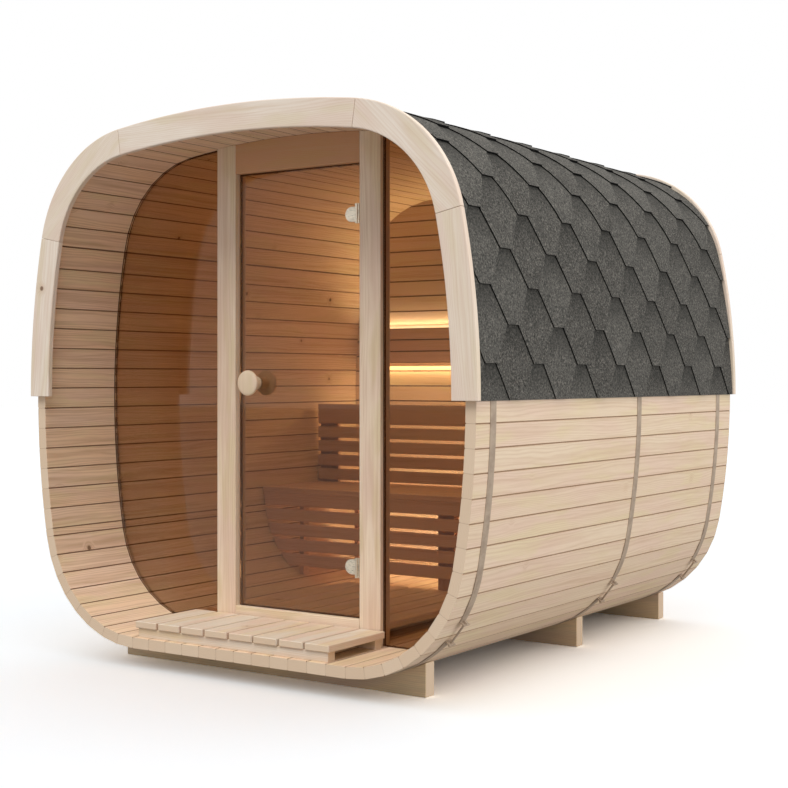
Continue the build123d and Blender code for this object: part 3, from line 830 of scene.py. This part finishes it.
# Glazed front wall: posts and header run up to the shell's ceiling
wallFrame = {"round": 0.003, "taper": 0.0012, "sideGap": 0.0002, "thresholdTaper": 0.0004, "gap": 0.0003}


def postGroup(node):
    low, high = span(node)
    centre = (low + high) / 2
    group = uprightBoard(centre[0], centre[1], low[2], high[2], high[0] - low[0], high[1] - low[1],
                         wallFrame["round"], wallFrame["taper"])
    rings = group["rings"]
    lowered = ceilingAt(rings[..., 0], -staveThickness - wallFrame["gap"])
    rings[:, -1, :, 2], rings[:, -2, :, 2] = lowered[:, -1], lowered[:, -2] - wallFrame["taper"]
    return group


def acrossDoorway(node):
    # Middle, section, and both ends just short of the posts
    low, high = span(node)
    outline = roundedSection(high[1] - low[1], high[2] - low[2], wallFrame["round"])
    ends = low[0] + wallFrame["sideGap"], high[0] - wallFrame["sideGap"]
    return (low + high) / 2, outline, ends


def headerGroup():
    # A board across the doorway whose upper edge is cut to the ceiling's curve
    centre, outline, ends = acrossDoorway("door_header")
    top = span("door_header")[1][2]
    x = np.linspace(*ends, 15)
    ceiling = ceilingAt(x, -staveThickness - wallFrame["gap"])
    z = centre[2] + outline[None, :, 1] + np.where(outline[None, :, 1] > 0, (ceiling - top)[:, None], 0.0)
    rings = np.stack([np.broadcast_to(x[:, None], z.shape), centre[1] + outline[None, :, 0] + 0 * z, z], -1)
    return {"rings": rings[None], "outline": outline[None]}


def thresholdGroup():
    centre, outline, ends = acrossDoorway("door_threshold")
    start, end = ([x, *centre[1:]] for x in ends)
    return straightBoards(outline, start, end, yAxis, zAxis, wallFrame["thresholdTaper"])


boardMesh(
    "wallFrame", [postGroup("left_post"), postGroup("right_post"), thresholdGroup()],
    [frameWood, paleEnd], "frame_wood", nodes=["left_post", "right_post", "door_threshold"],
)
# The header gets the darker copy of the frame wood: painted shade
boardMesh("doorHeader", [headerGroup()], [headerWoodPaintedShade, paleEnd], "frame_wood", nodes=["door_header"])
print("stage: front wall frame")

# Dark seals: stops behind the door leaf, the one on the hinge side widened to fill the gap by the post as
# painted shadow, and beads on both faces of the side panes
seal = {"stopWidth": 0.0065, "hingeStopShadowWidth": 0.0095, "stopDepth": 0.010, "stopRound": 0.002,
        "stopTaper": 0.0004, "beadWidth": 0.0040, "beadDepth": 0.003, "beadRound": 0.001, "beadTaper": 0.0003,
        "beadLift": 0.002, "gap": 0.0004, "arcPoints": 40, "shortestStep": 0.0005}


def doorStops():
    # Strips on the posts, the header and the threshold that the leaf closes against
    inner = span("right_post")[0][0]
    top, bottom = span("door_header")[0][2], span("door_threshold")[1][2]
    wide, deep, rounding, taper = (seal[f"stop{part}"] for part in ("Width", "Depth", "Round", "Taper"))
    y = span("door_glass")[1][1] + seal["gap"] + deep / 2
    # The hinge-side stop is a real seal made wider so that it darkens the gap beside the post: partly painted
    # shadow
    uprights = [uprightBoard(side * (inner - width / 2), y, bottom, top, width, deep, rounding, taper)
                for side, width in ((-1, wide), (1, seal["hingeStopShadowWidth"]))]
    reach, level = np.full(2, inner - wide), np.array([bottom + wide / 2, top - wide / 2])
    starts, ends = (np.stack([side * reach, np.full(2, y), level], -1) for side in (-1, 1))
    outline = roundedSection(wide, deep, rounding)
    return [*uprights, straightBoards(outline, starts, ends, zAxis, yAxis, taper)]


def paneBeads(side):
    # Along the room's outline from the ceiling by the post round to the floor by the post, then up
    # the post: points pushed inwards by half a bead, the section square to the path
    isLeft = side == "left"
    low, high = span(f"{side}_glass")
    post = high[0] if isLeft else low[0]
    inset = -staveThickness - seal["beadWidth"] / 2
    names = ["crown", f"{side}Upper", f"{side}Side", f"{side}Lower"][::1 if isLeft else -1]
    path = np.concatenate([arcPoint(name, np.linspace(0, 1, seal["arcPoints"]), inset) for name in names])
    path = path[path[:, 0] <= post if isLeft else path[:, 0] >= post]
    ends = [[[post, path[0 if isLeft else -1, 1]]], [[post, floorLow[2] - inset]]][::1 if isLeft else -1]
    path = np.concatenate([ends[0], path, ends[1]])
    isApart = np.linalg.norm(np.diff(path, axis=0), axis=1) > seal["shortestStep"]
    path = path[np.concatenate([[True], isApart])]
    run = np.gradient(path, axis=0)
    run /= np.linalg.norm(run, axis=1, keepdims=True)
    out = np.stack([run[:, 1], -run[:, 0]], -1)
    wide, deep = seal["beadWidth"], seal["beadDepth"]
    outline = roundedSection(wide, deep, seal["beadRound"])
    beside = post + (-1 if isLeft else 1) * wide / 2
    top = path[0 if isLeft else -1, 1]
    groups = []
    bottom = low[2] + seal["beadLift"]
    for y in (low[1] - deep / 2, high[1] + deep / 2):
        flat = path[:, None] + outline[None, :, :1] * out[:, None]
        rings = np.stack([flat[..., 0], y + outline[None, :, 1] + 0 * flat[..., 0], flat[..., 1]], -1)
        groups.append({"rings": rings[None], "outline": outline[None]})
        groups.append(uprightBoard(beside, y, bottom, top, wide, deep, seal["beadRound"], seal["beadTaper"]))
    return groups


boardMesh("doorStops", doorStops(), [sealRubber, sealRubber], None)
boardMesh("paneBeads", paneBeads("left") + paneBeads("right"), [sealRubber, sealRubber], None)
print("stage: seals")

# Slatted floors in the porch and the room
slats = {"deckCount": 8, "roomCount": 7, "gap": 0.010, "round": 0.0035, "taper": 0.003, "sway": 0.0012,
         "endInset": 0.0013, "railWidth": 0.045, "railRound": 0.002, "railTaper": 0.0015}


def slatGroup(node, count):
    low, high = span(node)
    width = (high[0] - low[0] - (count - 1) * slats["gap"]) / count
    outline = roundedSection(width, high[2] - low[2], slats["round"])
    x = low[0] + width / 2 + np.arange(count) * (width + slats["gap"])
    middle = np.full(count, (low[2] + high[2]) / 2)
    sway = chance.uniform(-slats["sway"], slats["sway"], (2, count))
    front = low[1] + slats["endInset"] + sway[0]
    back = high[1] - slats["endInset"] + sway[1]
    starts, ends = np.stack([x, front, middle], -1), np.stack([x, back, middle], -1)
    return straightBoards(outline, starts, ends, xAxis, zAxis, slats["taper"])


def railGroup(node):
    low, high = span(node)
    outline = roundedSection(slats["railWidth"], high[2] - low[2], slats["railRound"])
    y = np.array([low[1], high[1] - slats["railWidth"]]) + slats["railWidth"] / 2
    middle = np.full(2, (low[2] + high[2]) / 2)
    starts = np.stack([np.full(2, low[0]), y, middle], -1)
    ends = np.stack([np.full(2, high[0]), y, middle], -1)
    return straightBoards(outline, starts, ends, yAxis, zAxis, slats["railTaper"])


for name, node, count, material, slot in (
    ("porchSlats", "deck_boards", slats["deckCount"], deckWood, "deck_wood"),
    ("porchRails", "deck_rails", 0, deckWood, "deck_wood"),
    # The room's slats take the lighter copy of the room wood: painted light
    ("roomSlats", "floor_boards", slats["roomCount"], floorWoodPaintedLight, "room_wood"),
    ("roomRails", "floor_rails", 0, roomWood, "room_wood"),
):
    group = slatGroup(node, count) if count else railGroup(node)
    boardMesh(name, [group], [material, paleEnd], slot, nodes=[node])
print("stage: slatted floors")


def rebatedSection(width, height, rebate):
    # A board's outline whose front edges are cut back, by half a groove's width and its depth
    reach, up = width / 2, height / 2
    wide, deep = rebate
    return np.array([
        (reach, -up), (reach, up), (deep - reach, up), (deep - reach, up - wide), (-reach, up - wide),
        (-reach, wide - up), (deep - reach, wide - up), (deep - reach, -up),
    ])


def crossBoards(levels, front, back, look, half=None, gap=0.0015, rows=1):
    # Boards that run across the room, one for each pair of levels. Their ends follow the wall at
    # every height, unless half the length is given.
    rings, outlines = [], []
    for bottom, top in levels:
        if "rebate" in look:
            outline = rebatedSection(back - front, top - bottom, look["rebate"])
        else:
            outline = roundedSection(back - front, top - bottom, look["round"], rows=rows)
        middle = [(front + back) / 2, (top + bottom) / 2]
        group = straightBoards(outline, [-1.0, *middle], [1.0, *middle], yAxis, zAxis, look["taper"])
        points = group["rings"]
        reach = halfRoom(points[..., 2], -staveThickness - gap) if half is None else half
        inset = np.array([0, look["taper"], look["taper"], 0])[None, :, None]
        points[..., 0] = np.sign(points[..., 0]) * (reach - inset)
        rings.append(points)
        outlines.append(group["outline"])
    rings, outlines = np.concatenate(rings), np.concatenate(outlines)
    steps = np.hypot(*np.moveaxis(np.roll(outlines, -1, 1) - outlines, -1, 0))
    grooves = (steps < look.get("grooveUnder", 0))[:, None] * 1
    return {"rings": rings, "outline": outlines, "edgeJoints": grooves}


# Rear wall of boards with V-joints
rearWall = {"boardHeight": 0.0823, "firstJoint": 1.070, "narrowest": 0.02, "jointGap": 0.0006,
            "wallGap": 0.0006, "round": 0.0030, "taper": 0.0008, "grooveUnder": 0.0026}
low, high = span("rear_wall")
below = math.floor((rearWall["firstJoint"] - low[2]) / rearWall["boardHeight"])
joints = rearWall["firstJoint"] + rearWall["boardHeight"] * np.arange(-below, 20)
isInside = (joints > low[2] + rearWall["narrowest"]) & (joints < high[2] - rearWall["narrowest"])
joints = np.concatenate([[low[2]], joints[isInside], [high[2]]])
boardMesh(
    "rearWallBoards",
    [crossBoards([pair], low[1], high[1], rearWall, gap=rearWall["wallGap"], rows=10)
     for pair in zip(joints[:-1] + rearWall["jointGap"] / 2, joints[1:] - rearWall["jointGap"] / 2)],
    [roomWood, paleEnd], "room_wood", nodes=["rear_wall"],
)
print("stage: rear wall")

# Bench, backrest and light board of brown heat-treated wood
bench = {"round": 0.003, "taper": 0.002, "seatCount": 6, "seatGap": 0.008,
         "skirtTop": 0.064, "skirtSlat": 0.058, "skirtGap": 0.017, "skirtCount": 4,
         "backSlat": 0.059, "backGap": 0.016, "backCount": 4, "wallGap": 0.004}
low, high = span("bench_seat")
seatWidth = (high[1] - low[1] - (bench["seatCount"] - 1) * bench["seatGap"]) / bench["seatCount"]
fronts = low[1] + np.arange(bench["seatCount"]) * (seatWidth + bench["seatGap"])
# Seat and skirt take the lighter copy of the bench wood: painted light
boardMesh(
    "benchSeat",
    [crossBoards([(low[2], high[2])], front, front + seatWidth, bench, gap=bench["wallGap"])
     for front in fronts],
    [seatWoodPaintedLight, brownEnd], "bench_wood", nodes=["bench_seat"],
)
low, high = span("bench_skirt")
pitch = bench["skirtSlat"] + bench["skirtGap"]
tops = high[2] - bench["skirtTop"] - bench["skirtGap"] - np.arange(bench["skirtCount"]) * pitch
levels = [(high[2] - bench["skirtTop"], high[2])] + [(top - bench["skirtSlat"], top) for top in tops]
boardMesh(
    "benchSkirt", [crossBoards([pair], low[1], high[1], bench, gap=bench["wallGap"]) for pair in levels],
    [seatWoodPaintedLight, brownEnd], "bench_wood", nodes=["bench_skirt"],
)
low, high = span("backrest_slats")
levels = [low[2] + number * (bench["backSlat"] + bench["backGap"]) for number in range(bench["backCount"])]
pairs = [(bottom, bottom + bench["backSlat"]) for bottom in levels]
pairs.append((pairs[-1][1] + bench["backGap"], high[2]))
boardMesh(
    "backrestSlats", [crossBoards([pair], low[1], high[1], bench, half=high[0]) for pair in pairs],
    [benchWood, brownEnd], "bench_wood", nodes=["backrest_slats"],
)

uprights = {"endWidth": 0.120, "middleWidth": 0.060}
low, high = span("backrest_uprights")
wide, y = uprights["endWidth"], (low[1] + high[1]) / 2
places = (low[0] + wide / 2, wide), (0.0, uprights["middleWidth"]), (high[0] - wide / 2, wide)
groups = [uprightBoard(x, y, low[2], high[2], width, high[1] - low[1]) for x, width in places]
boardMesh("backrestUprights", groups, [benchWood, brownEnd], "bench_wood", nodes=["backrest_uprights"])

frames = {"endWidth": 0.025, "middleWidth": 0.090, "middleX": 0.071, "rail": 0.045, "gap": 0.0003}
low, high = span("bench_frames")
wide, rail, groups = frames["endWidth"], frames["rail"], []
places = (wide / 2 - high[0], wide), (frames["middleX"], frames["middleWidth"]), (high[0] - wide / 2, wide)
for x, width in places:
    groups.append(lengthwiseBoard(x, low[1], high[1], high[2] - rail / 2, width, rail))
    # An end frame's feet stand on the lower corner's circle, the middle one's on the floor
    foot = roomFloor + frames["gap"]
    if abs(x) > lowerX:
        past = abs(x) + width / 2 - lowerX
        foot = lowerZ - math.sqrt((cornerRadius - staveThickness - frames["gap"]) ** 2 - past**2)
    for y in (low[1] + rail / 2, high[1] - rail / 2):
        groups.append(uprightBoard(x, y, foot, high[2] - rail, width, rail))
boardMesh("benchFrames", groups, [benchWood, brownEnd], "bench_wood", nodes=["bench_frames"])

lightBoard = {"boards": 3, "jointGap": 0.0004, "rebate": (0.0028, 0.006), "grooveUnder": 0.0065,
              "taper": 0.0015, "thickness": 0.028, "spacer": (0.060, 0.080), "pitch": 0.70}
low, high = span("light_board")
heights = np.linspace(low[2], high[2], lightBoard["boards"] + 1)
behind, halfGap = low[1] + lightBoard["thickness"], lightBoard["jointGap"] / 2
groups = [crossBoards([pair], low[1], behind, lightBoard, half=high[0])
          for pair in zip(heights[:-1] + halfGap, heights[1:] - halfGap)]
groups += [lengthwiseBoard(x, behind, high[1], (low[2] + high[2]) / 2, *lightBoard["spacer"])
           for x in (-lightBoard["pitch"], 0.0, lightBoard["pitch"])]
boardMesh("lightBoard", groups, [benchWood, brownEnd], "bench_wood", nodes=["light_board"])
print("stage: bench and light board")

# Turned knobs
knob = {
    "points": 64,
    # Distance from the glass as a share of the length, and radius as a share of the disc's
    "away": (0.0, 0.02, 0.12, 0.30, 0.50, 0.62, 0.68, 0.715, 0.745, 0.77, 0.80, 0.85, 0.90, 0.945, 0.975,
             0.991, 1.0, 1.0),
    "reach": (0.50, 0.518, 0.51, 0.48, 0.465, 0.475, 0.51, 0.62, 0.80, 0.92, 0.975, 0.992, 0.990, 0.965,
              0.90, 0.70, 0.35, 0.004),
    "mapRadius": 0.05,
    "tone": 0.3,
}


def knobMesh(name, node, facing):
    # The profile turned about a line square to the glass: a flared foot, a waist, a shoulder that
    # swells to the disc, and a gently domed face
    low, high = span(node)
    centre = (low + high) / 2
    radius, length = (high[0] - low[0]) / 2, high[1] - low[1]
    away, reach = np.array(knob["away"]), np.array(knob["reach"]) * radius
    circle = circleOf(knob["points"])
    depth = (high[1] if facing < 0 else low[1]) + facing * away * length
    x, z = (centre[axis] + np.outer(reach, circle[:, place]) for place, axis in enumerate((0, 2)))
    rings = np.stack([x, np.broadcast_to(depth[:, None], x.shape), z], -1)
    grain = np.stack([rings[..., 2] - centre[2] + 0.3 * rings[..., 1], rings[..., 0] - centre[0]], -1)
    group = {"rings": rings[None], "outline": circle[None] * knob["mapRadius"], "grain": grain[None],
             "seed": np.array([knob["tone"]])}
    boardMesh(name, [group], [knobWood, knobWood], "knob_wood", body="door", nodes=[node], sharpAngle=50)


knobMesh("outerKnob", "outer_knob", -1)
knobMesh("innerKnob", "inner_knob", 1)
print("stage: knobs")

# Draw bolts between the lugs of the straps
bolt = {"turn": math.radians(-38), "spacing": 0.096, "lift": 0.014, "shank": 0.004, "head": 0.0075,
        "headLength": 0.006, "washer": 0.0095, "washerLength": 0.0016, "overrun": 0.012, "lug": 0.004,
        "taper": 0.0006, "washerTaper": 0.0003}


def boltGroups(y):
    # Round and six-sided prisms along the line between the lugs, one after another
    reach = cornerRadius + bolt["lift"]
    turns = [bolt["turn"] + side * bolt["spacing"] / 2 / cornerRadius for side in (-1, 1)]
    first, last = (np.array([lowerX + reach * math.cos(turn), y, lowerZ + reach * math.sin(turn)])
                   for turn in turns)
    run = (last - first) / np.linalg.norm(last - first)
    out = np.cross(run, yAxis)
    circle, hexagon, face = circleOf(16), circleOf(6), bolt["lug"] / 2
    shankStart = first - run * (face + bolt["overrun"])
    parts = [(circle * bolt["shank"], shankStart, last + run * face, bolt["taper"])]
    for end, way in ((first, -run), (last, run)):
        washerEnd = end + way * (face + bolt["washerLength"])
        parts.append((circle * bolt["washer"], end + way * face, washerEnd, bolt["washerTaper"]))
        parts.append((hexagon * bolt["head"], washerEnd, washerEnd + way * bolt["headLength"], bolt["taper"]))
    return [straightBoards(outline, start, end, out, yAxis, taper) for outline, start, end, taper in parts]


groups = []
for name in ("front", "middle", "rear"):
    low, high = span(f"{name}_strap")
    groups += boltGroups((low[1] + high[1]) / 2)
boardMesh("strapBolts", groups, [strapSteel, strapSteel], "strap_steel")

# Screws in the hinge plates and leaves
screws = {"radius": 0.0045, "height": 0.0012, "taper": 0.0005, "points": 14, "columns": (0.262, 0.280),
          "hinges": (0.432, 1.861), "rise": 0.022, "plate": 0.005}


def screwGroups(x, y, z, facing):
    # A shallow domed head: its outer ring is drawn in
    circle = circleOf(screws["points"]) * screws["radius"]
    start, end = [x, y, z], [x, y + facing * screws["height"], z]
    return straightBoards(circle, start, end, xAxis, zAxis, screws["taper"])


low, high = span("door_glass")
faces = (low[1] - screws["plate"], -1), (high[1] + screws["plate"], 1)
groups = [screwGroups(x, y, level + rise, facing) for level in screws["hinges"] for x in screws["columns"]
          for rise in (-screws["rise"], screws["rise"]) for y, facing in faces]
boardMesh("hingeScrews", groups, [hingeSteel, hingeSteel], "hinge_steel", body="door")
print("stage: bolts and screws")

# CAD pieces whose shape is right get their finish
finishes = {
    "front_strap": strapSteel, "middle_strap": strapSteel, "rear_strap": strapSteel,
    "door_hinges": hingeSteel, "post_hinges": hingeSteel,
    "left_glass": bronzeGlass, "right_glass": bronzeGlass, "door_glass": doorGlass,
    "light_strips": stripLight,
}
for node, material in finishes.items():
    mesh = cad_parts[node].data
    mesh.materials.clear()
    mesh.materials.append(material)
print("stage: finishes on the frame's own pieces")

# Studio: pale floor, soft daylight and the camera
studio = {
    "cameraPlace": (3.7127, -5.5610, 1.2015),
    "cameraTurn": 34.1,
    "lens": 66.24,
    "shift": -0.0216,
    "daylight": 0.53,
    "sunFrom": (0.14, -0.50, 0.85),
    "sunStrength": 2.05,
    "sunSpread": 40.0,
    "sunColour": (1.0, 0.985, 0.96),
    "fillFrom": (0.93, 0.32, 0.16),
    "fillStrength": 1.45,
    "floorSeen": (2.04, 2.13, 2.21),        # to the camera, so that open floor is white
    "floorBounce": 0.88,
    "floorReach": 40.0,
}
camera = bpy.data.objects.new("camera", bpy.data.cameras.new("camera"))
camera.location = studio["cameraPlace"]
camera.rotation_euler = (math.pi / 2, 0, math.radians(studio["cameraTurn"]))
camera.data.lens = studio["lens"]
camera.data.sensor_width = 36
camera.data.shift_y = studio["shift"]
camera.data.clip_end = 200
bpy.context.scene.collection.objects.link(camera)
bpy.context.scene.camera = camera


# The sky is white for rays from the camera and for what mirrors and glass show
world = bpy.data.worlds.new("studio")
bpy.context.scene.world = world
nodes = Nodes(world)
path = nodes.add("LightPath").outputs
seen = nodes.calc("MAXIMUM", path["Is Camera Ray"], path["Is Glossy Ray"])
seen = nodes.calc("MAXIMUM", seen, path["Is Transmission Ray"])
strength = nodes.steps(seen, 0.0, 1.0, studio["daylight"], 1.0)
sky = nodes.add("Background", {"Color": (1, 1, 1), "Strength": strength})
nodes.add("OutputWorld", {0: sky.outputs[0]})

floorMaterial = bpy.data.materials.new("studioFloor")
nodes = Nodes(floorMaterial)
isSeen = nodes.add("LightPath").outputs["Is Camera Ray"]
level = nodes.blend(isSeen, (studio["floorBounce"],) * 3, studio["floorSeen"])
nodes.add("OutputMaterial", {0: nodes.add("BsdfDiffuse", {"Color": level}).outputs[0]})
floorMesh = bpy.data.meshes.new("studioFloor")
reach = studio["floorReach"]
corners = [(-reach, -reach, 0), (reach, -reach, 0), (reach, reach, 0), (-reach, reach, 0)]
floorMesh.from_pydata(corners, [], [(0, 1, 2, 3)])
floorMesh.materials.append(floorMaterial)
studioFloor = bpy.data.objects.new("studioFloor", floorMesh)
bpy.context.scene.collection.objects.link(studioFloor)


def newLamp(name, kind, place, towards, **fields):
    data = bpy.data.lights.new(name, kind)
    for field, value in fields.items():
        setattr(data, field, value)
    lamp = bpy.data.objects.new(name, data)
    lamp.location = place
    away = -np.array(towards, dtype=float)
    flat = math.hypot(away[0], away[1])
    around = math.atan2(away[1], away[0]) + math.pi / 2 if flat else 0
    lamp.rotation_euler = (math.atan2(flat, away[2]), 0, around)
    lamp.visible_camera = lamp.visible_glossy = lamp.visible_transmission = False
    bpy.context.scene.collection.objects.link(lamp)
    return lamp


def lightLink(lamps, pieces, state="INCLUDE"):
    # The lamps light these pieces only, or with EXCLUDE all but these
    linked = bpy.data.collections.new(f"{lamps[0].name}Pieces")
    for piece in pieces:
        linked.objects.link(piece)
    for entry in linked.collection_objects:
        entry.light_linking.link_state = state
    for lamp in lamps:
        lamp.light_linking.receiver_collection = linked


# Both suns light the sauna alone, so that the floor keeps the soft shade of the sky only
suns = [
    newLamp(
        f"{name}Lamp", "SUN", (3, -4, 5), -np.array(studio[f"{name}From"]), color=studio["sunColour"],
        energy=studio[f"{name}Strength"], angle=math.radians(studio["sunSpread"]),
    ) for name in ("sun", "fill")
]
lightLink(suns, [studioFloor], "EXCLUDE")

# Warm light in the room: beside both strips, from the front of the ceiling, and under the bench
low, high = span("light_strips")
skirtLow, skirtHigh = span("bench_skirt")
backLow, backHigh = span("backrest_slats")
warm = (1.0, 0.87, 0.48)
glows = {
    "upperGlow": {
        "place": (0, low[1] - 0.006, high[2] + 0.003), "towards": (0, 0.14, 1), "size": (1.92, 0.012),
        "energy": 1.95, "colour": (1.0, 0.95, 0.72),
    },
    "ceilingGlow": {
        "place": (0, low[1] - 0.06, high[2] + 0.020), "towards": (0, -0.05, 1), "size": (1.80, 0.020),
        "energy": 4.0, "colour": (1.0, 0.91, 0.50), "spread": 150, "only": ["shellStaves"],
    },
    "lowerGlow": {
        "place": (0, low[1] - 0.004, low[2] - 0.022), "towards": (0, 0.05, -1), "size": (1.92, 0.030),
        "energy": 3.5, "colour": warm,
    },
    "roomGlow": {
        "place": (0, -0.30, 1.98), "towards": (0, 0.75, -0.85), "size": (1.2, 0.3),
        "energy": 2.3, "colour": warm, "spread": 110,
    },
    "floorGlow": {
        "place": (0.1, skirtHigh[1] + 0.24, skirtLow[2] + 0.14), "towards": (0, -0.12, -1),
        "size": (1.5, 0.10), "energy": 0.9, "colour": (1.0, 0.90, 0.62), "spread": 90,
    },
    "benchGlow": {
        "place": (0, 0.64, 0.50), "towards": (0, 0.90, -0.42), "size": (1.7, 0.16), "energy": 6.5,
        "colour": (1.0, 0.92, 0.70), "spread": 140, "only": ["shellStaves", "rearWallBoards"],
    },
    "backGlow": {
        "place": (0, backHigh[1] + 0.02, (backLow[2] + backHigh[2]) / 2), "towards": (0, 1, 0),
        "size": (1.9, backHigh[2] - backLow[2]), "energy": 3.3, "colour": (1.0, 0.92, 0.72),
    },
}
for name, look in glows.items():
    wide, deep = look["size"]
    lamp = newLamp(name, "AREA", look["place"], look["towards"], shape="RECTANGLE", size=wide, size_y=deep,
                   spread=math.radians(look.get("spread", 180)), energy=look["energy"], color=look["colour"])
    if "only" in look:
        lightLink([lamp], [bpy.data.objects[piece] for piece in look["only"]])
bpy.context.scene.view_settings.view_transform = "Standard"
print("stage: studio")
